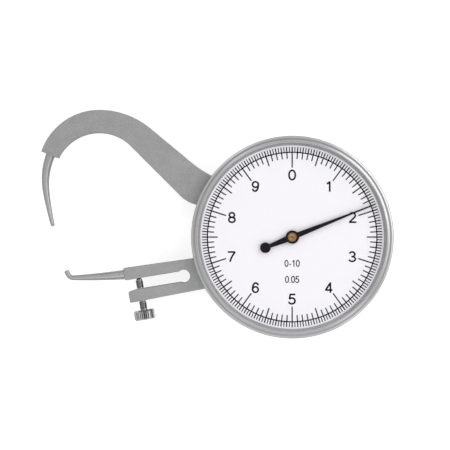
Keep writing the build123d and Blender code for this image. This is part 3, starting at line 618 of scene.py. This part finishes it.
@dataclass(frozen=True)
class GlassFinish:
    """The clear crystal over the dial, which lets light fall on the dial."""

    name: str
    tint: Colour
    index: float
    roughness: float
    shadow: float
    smear_size: float = 7.0
    smear_share: float = 0.2
    smear_roughness: float = 0.01

    def make(self, effects: Effects) -> bpy.types.Material:
        """Build the material.

        Args:
            effects: The shared node groups.

        Returns:
            The material.
        """
        material, graph, shader = new_material(self.name)
        shader.inputs["Base Color"].default_value = (*self.tint, 1.0)
        shader.inputs["Transmission Weight"].default_value = 1.0
        shader.inputs["IOR"].default_value = self.index
        marks = effects.handling.place(graph, Smear_Size=self.smear_size, Smear_Share=self.smear_share)
        rough = graph.math("MULTIPLY_ADD", marks.outputs["Smear"], self.smear_roughness, self.roughness)
        graph.join(rough, shader.inputs["Roughness"])
        rays = graph.add("ShaderNodeLightPath")
        passing = graph.math("MAXIMUM", rays.outputs["Is Shadow Ray"], rays.outputs["Is Diffuse Ray"])
        graph.join(graph.math("MULTIPLY_ADD", passing, self.shadow - 1, 1.0), shader.inputs["Alpha"])
        return material


def new_material(name: str) -> tuple[bpy.types.Material, Graph, bpy.types.Node]:
    """Make a material with an empty graph and a Principled shader at its end.

    Args:
        name: The material's name.

    Returns:
        The material, its graph and its shader node.
    """
    material = bpy.data.materials.new(name)
    material.use_nodes = True
    material.node_tree.nodes.clear()
    graph = Graph(material.node_tree)
    shader = graph.add("ShaderNodeBsdfPrincipled", "finish")
    end = graph.add("ShaderNodeOutputMaterial")
    graph.join(shader.outputs[0], end.inputs["Surface"])
    return material, graph, shader


# Each metal's colour is darkened in its own hollows and corners as painted shade, by the share its
# finish gives
FINISHES: dict[Slot, MetalFinish | CoatedFinish | GlassFinish] = {
    Slot.CASE: MetalFinish("satin case", srgb(176, 176, 178), 0.34, Grain.TURNED, 0.10, 0.003, 0.06),
    # Painted shade: the bezel's colour is darkened on its inner lip, between 24.0 and 24.6 mm
    Slot.BEZEL: MetalFinish(
        "turned bezel", srgb(180, 180, 181), 0.27, Grain.TURNED, 0.10, 0.003, 0.05,
        cavity_loss=0.15, grazing_tint=0.8, dull_step=(24.0, 24.6), dull_loss=0.2,
    ),
    Slot.DIAL_RING: MetalFinish(
        "satin dial ring", srgb(190, 190, 190), 0.38, Grain.TURNED, 0.12, 0.002, 0.04,
        cavity_loss=0.1, grazing_tint=0.9,
    ),
    Slot.CRYSTAL: GlassFinish("crystal", (0.99, 0.995, 1.0), 1.49, 0.0, 0.06),
    Slot.DIAL: CoatedFinish("dial enamel", srgb(245, 242, 246), 0.55),
    Slot.PLATE: MetalFinish(
        "brushed brass plate", srgb(206, 172, 104), 0.34, Grain.BRUSHED, 0.08, 0.003, 0.08
    ),
    Slot.BUSH: MetalFinish("bronze bush", srgb(178, 128, 82), 0.3, Grain.POLISHED, 0.2, 0.0, 0.06),
    Slot.GEAR: MetalFinish("cut brass", srgb(212, 178, 108), 0.26, Grain.POLISHED, 0.12, 0.0, 0.06),
    Slot.ARBOR: MetalFinish(
        "polished arbor steel", srgb(188, 186, 182), 0.24, Grain.POLISHED, 0.2, 0.0, 0.04
    ),
    Slot.SPRING: MetalFinish(
        "tempered spring steel", srgb(120, 126, 140), 0.3, Grain.BRUSHED, 0.06, 0.002, 0.06
    ),
    Slot.SMALL_SCREW: MetalFinish(
        "small screw steel", srgb(176, 178, 182), 0.28, Grain.BRUSHED, 0.08, 0.002, 0.05
    ),
    Slot.ARM: MetalFinish(
        "bead-blasted arm steel", srgb(159, 159, 159), 0.46, Grain.BLASTED, 0.3, 0.008, 0.14
    ),
    Slot.CONTACT: MetalFinish(
        "ground contact steel", srgb(162, 162, 162), 0.3, Grain.POLISHED, 0.3, 0.0, 0.08
    ),
    Slot.THUMB_SCREW: MetalFinish(
        "plated thumb screw", srgb(178, 178, 179), 0.15, Grain.POLISHED, 0.2, 0.0, 0.05,
        cavity_loss=0.7, grazing_tint=0.35,
    ),
    Slot.POINTER: CoatedFinish("black pointer lacquer", srgb(12, 11, 14), 0.4, gloss=0.15),
    Slot.HUB: MetalFinish(
        "turned hub brass", srgb(156, 122, 78), 0.22, Grain.TURNED, 0.1, 0.012, 0.16, cavity_loss=0.7
    ),
}

INK = CoatedFinish("dial ink", srgb(14, 12, 18), 0.6, 0.1, 0.001, 0.08, 0.1)
# Painted shade: a darker copy of the thumb screw's plated steel, standing in for the shade and dark
# reflections along the shank
SHADED_THREAD_STEEL = MetalFinish(
    "thread steel with painted shade", srgb(106, 104, 103), 0.12, Grain.POLISHED, 0.2, 0.0, 0.06,
    cavity_loss=0.3, grazing_tint=0.3,
)
RIVET = MetalFinish(
    "burnished rivet", srgb(136, 92, 72), 0.2, Grain.POLISHED, 0.2, 0.0, 0.05, cavity_loss=0.8
)


def mesh_piece(
    name: str, mesh: bpy.types.Mesh, material: bpy.types.Material, body: Body
) -> bpy.types.Object:
    """Link a mesh as a piece that rides on a body.

    Args:
        name: The piece's name.
        mesh: Its mesh, in the gauge's frame.
        material: Its material.
        body: The body that carries it.

    Returns:
        The new object.
    """
    piece = bpy.data.objects.new(name, mesh)
    bpy.context.scene.collection.objects.link(piece)
    mesh.materials.append(material)
    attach(piece, body.value)
    LOG.info("%s: %d faces", name, len(mesh.polygons))
    return piece


def mesh_from(name: str, build: bmesh.types.BMesh, smooth: bool = False) -> bpy.types.Mesh:
    """Turn a bmesh into a mesh and free it.

    Args:
        name: The mesh's name.
        build: The bmesh.
        smooth: Whether its faces are shaded smooth, apart from sharp corners.

    Returns:
        The mesh.
    """
    bmesh.ops.recalc_face_normals(build, faces=build.faces)
    mesh = bpy.data.meshes.new(name)
    build.to_mesh(mesh)
    build.free()
    for face in mesh.polygons:
        face.use_smooth = smooth
    if smooth:
        mesh.set_sharp_from_angle(angle=math.radians(SHARP_ANGLE))
    return mesh


def skin(
    build: bmesh.types.BMesh, outlines: list[list[bmesh.types.BMVert]], closed: bool = False
) -> None:
    """Join closed outlines, one after the other, with four-cornered faces.

    Args:
        build: The bmesh that holds them.
        outlines: The outlines in order, with the same number of points.
        closed: Whether the last outline also joins the first.
    """
    following = outlines[1:] + outlines[:1] if closed else outlines[1:]
    for here, after in zip(outlines, following):
        for side in range(len(here)):
            other = (side + 1) % len(here)
            build.faces.new((here[side], here[other], after[other], after[side]))


@dataclass(frozen=True)
class Arc:
    """Part of an ellipse in a numeral, from one angle to another."""

    middle: tuple[float, float]
    half_width: float
    half_height: float
    start: float = 0.0
    end: float = 360.0

    def points(self) -> list[tuple[float, float]]:
        """Return points along the arc, about ARC_STEP degrees apart."""
        count = max(2, round(abs(self.end - self.start) / ARC_STEP))
        made = []
        for index in range(count + 1):
            turn = math.radians(self.start + (self.end - self.start) * index / count)
            across = self.middle[0] + self.half_width * math.cos(turn)
            made.append((across, self.middle[1] + self.half_height * math.sin(turn)))
        return made


Stroke = tuple[Arc | tuple[float, float], ...]

# Numerals of a plain sans serif letter, one unit high, by the middle lines of their strokes
NUMERALS: dict[str, tuple[Stroke, ...]] = {
    "0": ((Arc((0.33, 0.5), 0.275, 0.45),),),
    "1": (((0.4, 0.0), (0.4, 0.99)), ((0.4, 0.95), (0.29, 0.83), (0.14, 0.75))),
    "2": (
        (Arc((0.33, 0.69), 0.25, 0.26, 172, -32), (0.09, 0.06)),
        ((0.03, 0.055), (0.67, 0.055)),
    ),
    "3": (
        (Arc((0.305, 0.72), 0.235, 0.225, 165, -90), (0.24, 0.495)),
        ((0.26, 0.495), Arc((0.305, 0.275), 0.28, 0.225, 90, -165)),
    ),
    "4": (((0.46, 0.0), (0.46, 0.99)), ((0.46, 0.95), (0.05, 0.28)), ((0.0, 0.27), (0.64, 0.27))),
    "5": (
        ((0.61, 0.94), (0.14, 0.94)),
        ((0.165, 0.96), (0.095, 0.48)),
        (Arc((0.3, 0.325), 0.28, 0.28, 145, -165),),
    ),
    "6": ((Arc((0.33, 0.315), 0.245, 0.26),), (Arc((0.36, 0.42), 0.275, 0.525, 35, 188),)),
    "7": (((-0.03, 0.94), (0.63, 0.94)), ((0.6, 0.93), (0.4, 0.62), (0.25, 0.31), (0.17, 0.0))),
    "8": ((Arc((0.33, 0.73), 0.225, 0.22),), (Arc((0.33, 0.28), 0.27, 0.235),)),
    "9": ((Arc((0.33, 0.685), 0.255, 0.265),), (Arc((0.3, 0.58), 0.275, 0.525, 215, 368),)),
    ".": (((0.1, 0.0), (0.1, 0.12)),),
    "-": (((0.06, 0.36), (0.36, 0.36)),),
}
ADVANCES: dict[str, float] = {".": 0.32, "-": 0.5}
DIGIT_ADVANCE = 0.76
DIGIT_WIDTH = 0.66


@dataclass
class DialPrint:
    """The dial's print: a circle, 20 ticks to a number, the numbers 0 to 9 and two small lines."""

    circle_radius: float = 21.72 * MM
    circle_width: float = 0.31 * MM
    outer_end: float = 23.1 * MM
    tenth_end: float = 20.05 * MM
    half_end: float = 19.1 * MM
    whole_end: float = 17.8 * MM
    fine_width: float = 0.24 * MM
    tick_width: float = 0.3 * MM
    whole_width: float = 0.33 * MM
    circle_step: int = 2
    numbers: int = 10
    steps_per_number: int = 20
    steps_per_half: int = 10
    steps_per_tenth: int = 2
    number_edge: float = 17.25 * MM
    number_height: float = 2.7 * MM
    number_stroke: float = 0.45 * MM
    number_squeeze: float = 1.09
    note_height: float = 1.75 * MM
    note_stroke: float = 0.26 * MM
    note_squeeze: float = 0.82
    range_drop: float = -6.75 * MM
    step_drop: float = -10.85 * MM
    ink_thickness: float = 0.015 * MM
    surface: float = 0.0
    material: bpy.types.Material | None = None

    def line(
        self, build: bmesh.types.BMesh, points: list[Vector], width: float, closed: bool = False
    ) -> None:
        """Add one printed line as a thin strip on the dial.

        Args:
            build: The bmesh to add to.
            points: Points along its middle.
            width: Its width.
            closed: Whether its end meets its start.
        """
        count = len(points)
        rows = []
        for index, point in enumerate(points):
            before = points[index - 1] if index or closed else point
            after = points[(index + 1) % count] if index + 1 < count or closed else point
            along = (after - before).normalized()
            across = Vector((-along.y, along.x, 0)) * (width / 2)
            low = Vector((point.x, point.y, self.surface))
            high = low + Vector((0, 0, self.ink_thickness))
            places = (low - across, low + across, high + across, high - across)
            rows.append([build.verts.new(place) for place in places])
        skin(build, rows, closed)
        if not closed:
            build.faces.new(rows[0])
            build.faces.new(list(reversed(rows[-1])))

    def lay(self, name: str, build: bmesh.types.BMesh) -> None:
        """Put finished printing on the dial."""
        mesh_piece(name, mesh_from(name, build), self.material, Body.CASE)

    def ticks(self) -> None:
        """Print all the ticks."""
        build = bmesh.new()
        steps = self.numbers * self.steps_per_number
        for step in range(steps):
            angle = ZERO_ANGLE - step * 360 / steps
            if step % self.steps_per_number == 0:
                inner, width = self.whole_end, self.whole_width
            elif step % self.steps_per_half == 0:
                inner, width = self.half_end, self.whole_width
            elif step % self.steps_per_tenth == 0:
                inner, width = self.tenth_end, self.tick_width
            else:
                inner, width = self.circle_radius, self.fine_width
            self.line(build, [polar(inner, angle), polar(self.outer_end, angle)], width)
        self.lay("dial_ticks", build)

    def circle(self) -> None:
        """Print the circle that the ticks cross."""
        build = bmesh.new()
        ring = [polar(self.circle_radius, angle) for angle in range(0, 360, self.circle_step)]
        self.line(build, ring, self.circle_width, True)
        self.lay("dial_circle", build)

    def number(self, words: str, middle: Vector, height: float, stroke: float, squeeze: float) -> None:
        """Print a number on the dial.

        Args:
            words: Its digits.
            middle: The middle of the number.
            height: Height of its digits.
            stroke: Width of its lines.
            squeeze: Width of a digit as a share of the usual.
        """
        build = bmesh.new()
        gap = DIGIT_ADVANCE - DIGIT_WIDTH
        length = sum(ADVANCES.get(word, DIGIT_ADVANCE) for word in words) - gap
        pen = -length / 2
        for word in words:
            for parts in NUMERALS[word]:
                flat = []
                for part in parts:
                    flat.extend(part.points() if isinstance(part, Arc) else [part])
                points = [
                    middle + Vector(((pen + across) * squeeze, up - 0.5, 0)) * height
                    for across, up in flat
                ]
                closed = len(parts) == 1 and (points[0] - points[-1]).length < stroke / 10
                self.line(build, points[:-1] if closed else points, stroke, closed)
            pen += ADVANCES.get(word, DIGIT_ADVANCE)
        self.lay("dial_number_" + words.replace(".", "_").replace("-", "_to_"), build)

    def number_middle(self, angle: float) -> Vector:
        """Return the middle of a number whose outer edge keeps its distance from the ticks.

        Args:
            angle: The number's angle about the dial axis, in degrees.

        Returns:
            The middle.
        """
        turn = math.radians(angle)
        half_width = DIGIT_WIDTH / 2 * self.number_squeeze * self.number_height * math.cos(turn)
        half_height = self.number_height / 2 * math.sin(turn)
        return polar(self.number_edge - math.hypot(half_width, half_height), angle)

    def build(self) -> None:
        """Make the printing and put it on the dial."""
        self.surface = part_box("dial_plate")[1].z
        self.ticks()
        self.circle()
        for value in range(self.numbers):
            place = self.number_middle(ZERO_ANGLE - value * 360 / self.numbers)
            self.number(str(value), place, self.number_height, self.number_stroke, self.number_squeeze)
        for words, drop in (("0-10", self.range_drop), ("0.05", self.step_drop)):
            place = Vector((0, drop, 0))
            self.number(words, place, self.note_height, self.note_stroke, self.note_squeeze)


@dataclass
class ThumbScrewThread:
    """The thread on the free stretches of the thumb screw's shank.

    Its turns lap a little, its foot is bedded in the shank and its ends run out.
    """

    pitch: float = 0.4 * MM
    crest: float = 0.91 * MM
    root: float = 0.866 * MM
    bed: float = 0.78 * MM
    half_width: float = 0.204 * MM
    half_crest: float = 0.06 * MM
    run_out_turns: float = 0.25
    least_height: float = 0.05
    segments: int = 32
    in_slot: tuple[float, float] = (-0.96 * MM, 1.28 * MM)
    below_prong: tuple[float, float] = (4.58 * MM, 6.94 * MM)
    material: bpy.types.Material | None = None

    def profile(self, along: float, fade: float) -> list[tuple[float, float]]:
        """Return the ridge's cross-section as radii and places along the shank.

        Args:
            along: The middle of the ridge along the shank.
            fade: How much of its height is left, from 0 to 1.

        Returns:
            The corners in order round the section.
        """
        root = self.bed + (self.root - self.bed) * fade
        crest = self.bed + (self.crest - self.bed) * fade
        return [
            (self.bed, along - self.half_width),
            (root, along - self.half_width),
            (crest, along - self.half_crest),
            (crest, along + self.half_crest),
            (root, along + self.half_width),
            (self.bed, along + self.half_width),
        ]

    def ridge(self, name: str, axis: Matrix, start: float, end: float) -> bpy.types.Mesh:
        """Build a helical ridge between two places along the shank, bedded in it.

        Args:
            name: The ridge's name.
            axis: Where the shank's axis starts and how it lies.
            start: Distance along the axis where the ridge starts.
            end: Distance along the axis where it ends.

        Returns:
            The ridge's mesh.
        """
        build = bmesh.new()
        turns = (end - start - 2 * self.half_width) / self.pitch
        count = int(turns * self.segments)
        rows = []
        for index in range(count + 1):
            turned = index / self.segments
            left = (count - index) / self.segments
            fade = max(self.least_height, min(1.0, min(turned, left) / self.run_out_turns))
            along = start + self.half_width + turned * self.pitch
            corners = self.profile(along, fade)
            places = [polar(radius, turned * 360, height) for radius, height in corners]
            rows.append([build.verts.new(axis @ place) for place in places])
        skin(build, rows)
        build.faces.new(rows[0])
        build.faces.new(list(reversed(rows[-1])))
        return mesh_from(name, build, True)

    def build(self, joint: dict) -> None:
        """Make the thread on each free stretch of the shank.

        Args:
            joint: The record's joint whose axis is the screw's axis.
        """
        heading = Vector(joint["axis"]).to_track_quat("Z", "Y").to_matrix().to_4x4()
        axis = Matrix.Translation(Vector(joint["pos_m"])) @ heading
        for name, (start, end) in (("slot_thread", self.in_slot), ("outer_thread", self.below_prong)):
            mesh = self.ridge(name, axis, start, end)
            mesh_piece(name, mesh, self.material, Body.SCREW)


@dataclass
class HubRivet:
    """The riveted end of the centre arbor, a low dome in the middle of the pointer's hub."""

    radius: float = 0.34 * MM
    sink: float = 0.2 * MM
    foot: float = 0.03 * MM
    dome: float = 0.1 * MM
    rings: int = 6
    segments: int = 32
    material: bpy.types.Material | None = None

    def build(self) -> None:
        """Turn the dome about the dial axis and rest it on the arbor's end."""
        build = bmesh.new()
        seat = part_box("pointer_hub")[1].z - self.sink
        rows = []
        for index in range(self.rings):
            lift = math.radians(90 * index / self.rings)
            height = seat + self.foot + self.dome * math.sin(lift)
            across = self.radius * math.cos(lift)
            angles = [360 * part / self.segments for part in range(self.segments)]
            rows.append([build.verts.new(polar(across, angle, height)) for angle in angles])
        rim = [build.verts.new((vert.co.x, vert.co.y, seat)) for vert in rows[0]]
        top = build.verts.new((0, 0, seat + self.foot + self.dome))
        rows.insert(0, rim)
        skin(build, rows)
        for part in range(self.segments):
            build.faces.new((rows[-1][part], rows[-1][(part + 1) % self.segments], top))
        build.faces.new(list(reversed(rim)))
        mesh = mesh_from("hub_rivet", build, True)
        mesh_piece("hub_rivet", mesh, self.material, Body.POINTER_AXLE)


@dataclass
class RetainingRing:
    """The thin ring that holds the crystal, bedded in the chamfer of its edge."""

    chamfer: float = 0.15 * MM
    play: float = 0.005 * MM
    bed: float = 0.015 * MM
    segments: int = 240
    material: bpy.types.Material | None = None

    def build(self) -> None:
        """Turn a three-cornered section about the dial axis."""
        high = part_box("crystal")[1]
        radius, top = high.x - self.play, high.z - self.play
        leg = self.chamfer - 2 * self.play - self.bed
        corners = ((radius, top), (radius - leg, top), (radius, top - leg))
        build = bmesh.new()
        sections = []
        for part in range(self.segments):
            angle = 360 * part / self.segments
            places = [polar(across, angle, height) for across, height in corners]
            sections.append([build.verts.new(place) for place in places])
        skin(build, sections, True)
        mesh = mesh_from("crystal_retaining_ring", build, True)
        mesh_piece("crystal_retaining_ring", mesh, self.material, Body.CASE)


@dataclass
class BendingLeaf:
    """The return spring's leaf, carried over from its node as a piece of its own."""

    weld: float = 0.001 * MM
    name: str = "bending_return_spring"
    material: bpy.types.Material | None = None

    def build(self, node: bpy.types.Object) -> None:
        """Take the leaf's shape from its node, weld its doubled points and hide the node.

        Args:
            node: The CAD node that this piece stands for.
        """
        build = bmesh.new()
        build.from_mesh(node.data)
        bmesh.ops.remove_doubles(build, verts=build.verts, dist=self.weld)
        mesh = mesh_from(self.name, build, True)
        mesh.materials.clear()
        mesh.materials.append(self.material)
        leaf = bpy.data.objects.new(self.name, mesh)
        bpy.context.scene.collection.objects.link(leaf)
        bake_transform(leaf)
        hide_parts(node.name)
        LOG.info("%s: %d faces", self.name, len(mesh.polygons))


@dataclass(frozen=True)
class LampPanel:
    """A soft lamp: direction in degrees, distance and size in metres, and power in watts."""

    name: str
    azimuth: float
    elevation: float
    distance: float
    width: float
    height: float
    energy: float


@dataclass
class Studio:
    """The floor, the lamps, the surroundings and the camera of the photograph.

    The sky is pairs of a height, 0 at the horizon and 1 overhead, and a grey level.
    """

    camera_place: Vector = field(default_factory=lambda: Vector((-17.21, 3.09, 450.0)) * MM)
    field_of_view: float = 14.98
    sensor_width: float = 36.0
    nearest: float = 0.01
    farthest: float = 20.0
    floor_size: float = 4.0
    floor_drop: float = 0.02 * MM
    floor_colour: Colour = (0.5, 0.5, 0.5)
    floor_roughness: float = 0.8
    floor_gloss: float = 0.1
    floor_lift: float = 0.68
    sky: tuple[tuple[float, float], ...] = (
        (0.0, 0.2), (1.0, 0.05), (0.2, 0.4), (0.5, 1.0),
        (0.85, 1.05), (0.95, 1.0), (0.978, 0.8), (0.992, 0.1),
    )
    lamps: tuple[LampPanel, ...] = (
        LampPanel("key_lamp", 30.0, 44.0, 0.8, 0.6, 0.24, 1.3),
        LampPanel("upper_lamp", 122.0, 38.0, 0.9, 0.2, 0.2, 0.16),
        LampPanel("right_lower_lamp", 310.0, 38.0, 0.9, 0.2, 0.2, 0.16),
        LampPanel("right_lamp", 352.0, 38.0, 0.9, 0.3, 0.2, 0.18),
        LampPanel("left_lower_lamp", 235.0, 40.0, 0.9, 0.3, 0.2, 0.06),
        LampPanel("lower_lamp", 278.0, 64.0, 0.9, 0.7, 0.7, 0.8),
    )

    def camera(self) -> None:
        """Place the camera where the photograph was taken from."""
        lens = bpy.data.cameras.new("photo_camera")
        lens.sensor_width = self.sensor_width
        lens.lens = lens.sensor_width / 2 / math.tan(math.radians(self.field_of_view / 2))
        lens.clip_start = self.nearest
        lens.clip_end = self.farthest
        camera = bpy.data.objects.new("photo_camera", lens)
        camera.location = self.camera_place
        bpy.context.scene.collection.objects.link(camera)
        bpy.context.scene.camera = camera

    def floor(self) -> None:
        """Lay a white floor that shows white to the camera and keeps the shadow."""
        build = bmesh.new()
        half = self.floor_size / 2
        corners = ((-half, -half), (half, -half), (half, half), (-half, half))
        build.faces.new([build.verts.new((x, y, 0)) for x, y in corners])
        mesh = mesh_from("floor", build)
        floor = bpy.data.objects.new("floor", mesh)
        bpy.context.scene.collection.objects.link(floor)
        floor.location.z = -self.floor_drop
        material, graph, shader = new_material("white floor")
        shader.inputs["Base Color"].default_value = (*self.floor_colour, 1.0)
        shader.inputs["Roughness"].default_value = self.floor_roughness
        shader.inputs["Specular IOR Level"].default_value = self.floor_gloss
        rays = graph.add("ShaderNodeLightPath")
        seen = graph.math("MAXIMUM", rays.outputs["Is Camera Ray"], rays.outputs["Is Glossy Ray"])
        seen = graph.math("MAXIMUM", seen, rays.outputs["Is Transmission Ray"])
        shader.inputs["Emission Color"].default_value = (1.0, 1.0, 1.0, 1.0)
        graph.join(graph.math("MULTIPLY", seen, self.floor_lift), shader.inputs["Emission Strength"])
        mesh.materials.append(material)

    def world(self) -> None:
        """Surround the object with soft grey light, darker near the horizon and right overhead."""
        world = bpy.data.worlds.new("studio")
        world.use_nodes = True
        world.node_tree.nodes.clear()
        graph = Graph(world.node_tree)
        place = graph.add("ShaderNodeTexCoord").outputs["Generated"]
        split = graph.add("ShaderNodeSeparateXYZ")
        graph.join(place, split.inputs[0])
        ramp = graph.add("ShaderNodeValToRGB")
        stops = ramp.color_ramp.elements
        ready = len(stops)
        for index, (height, level) in enumerate(self.sky):
            stop = stops[index] if index < ready else stops.new(height)
            stop.position = height
            stop.color = (level, level, level, 1.0)
        graph.join(split.outputs["Z"], ramp.inputs[0])
        back = graph.add("ShaderNodeBackground")
        graph.join(ramp.outputs[0], back.inputs["Color"])
        end = graph.add("ShaderNodeOutputWorld")
        graph.join(back.outputs[0], end.inputs["Surface"])
        bpy.context.scene.world = world

    def lamp(self, panel: LampPanel) -> None:
        """Hang a soft lamp that faces the dial.

        Args:
            panel: The lamp.
        """
        light = bpy.data.lights.new(panel.name, "AREA")
        light.shape = "RECTANGLE"
        light.size = panel.width
        light.size_y = panel.height
        light.energy = panel.energy
        lamp = bpy.data.objects.new(panel.name, light)
        turn = math.radians(panel.azimuth)
        rise = math.radians(panel.elevation)
        level = math.cos(rise)
        away = Vector((math.cos(turn) * level, math.sin(turn) * level, math.sin(rise)))
        lamp.location = away * panel.distance
        lamp.rotation_mode = "QUATERNION"
        lamp.rotation_quaternion = (-away).to_track_quat("-Z", "Y")
        bpy.context.scene.collection.objects.link(lamp)

    def build(self) -> None:
        """Set up the whole studio."""
        scene = bpy.context.scene
        scene.view_settings.view_transform = "Standard"
        self.camera()
        self.floor()
        self.world()
        for panel in self.lamps:
            self.lamp(panel)


def dress_nodes(nodes: dict[str, bpy.types.Object], effects: Effects) -> dict[Slot, bpy.types.Material]:
    """Give every carried-over piece its finish by its material slot.

    Args:
        nodes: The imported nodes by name.
        effects: The shared node groups.

    Returns:
        The materials by slot.
    """
    materials = {slot: finish.make(effects) for slot, finish in FINISHES.items()}
    by_name = {slot.value: material for slot, material in materials.items()}
    for name, node in nodes.items():
        for held in node.material_slots:
            held.material = by_name[held.material.name.split(".")[0]]
        LOG.info("%s dressed as %s", name, node.material_slots[0].material.name)
    return materials


def main() -> None:
    """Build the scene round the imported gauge."""
    logging.basicConfig(level=logging.INFO, format="%(name)s: %(message)s")
    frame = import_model()
    effects = Effects()
    finishes = dress_nodes(frame["nodes"], effects)
    DialPrint(material=INK.make(effects)).build()
    screw_joint = next(joint for joint in frame["joints"] if joint["name"] == "setting_screw_turn")
    ThumbScrewThread(material=SHADED_THREAD_STEEL.make(effects)).build(screw_joint)
    HubRivet(material=RIVET.make(effects)).build()
    RetainingRing(material=finishes[Slot.DIAL_RING]).build()
    BendingLeaf(material=finishes[Slot.SPRING]).build(frame["nodes"]["return_spring"])
    Studio().build()


if __name__ == "__main__":
    main()
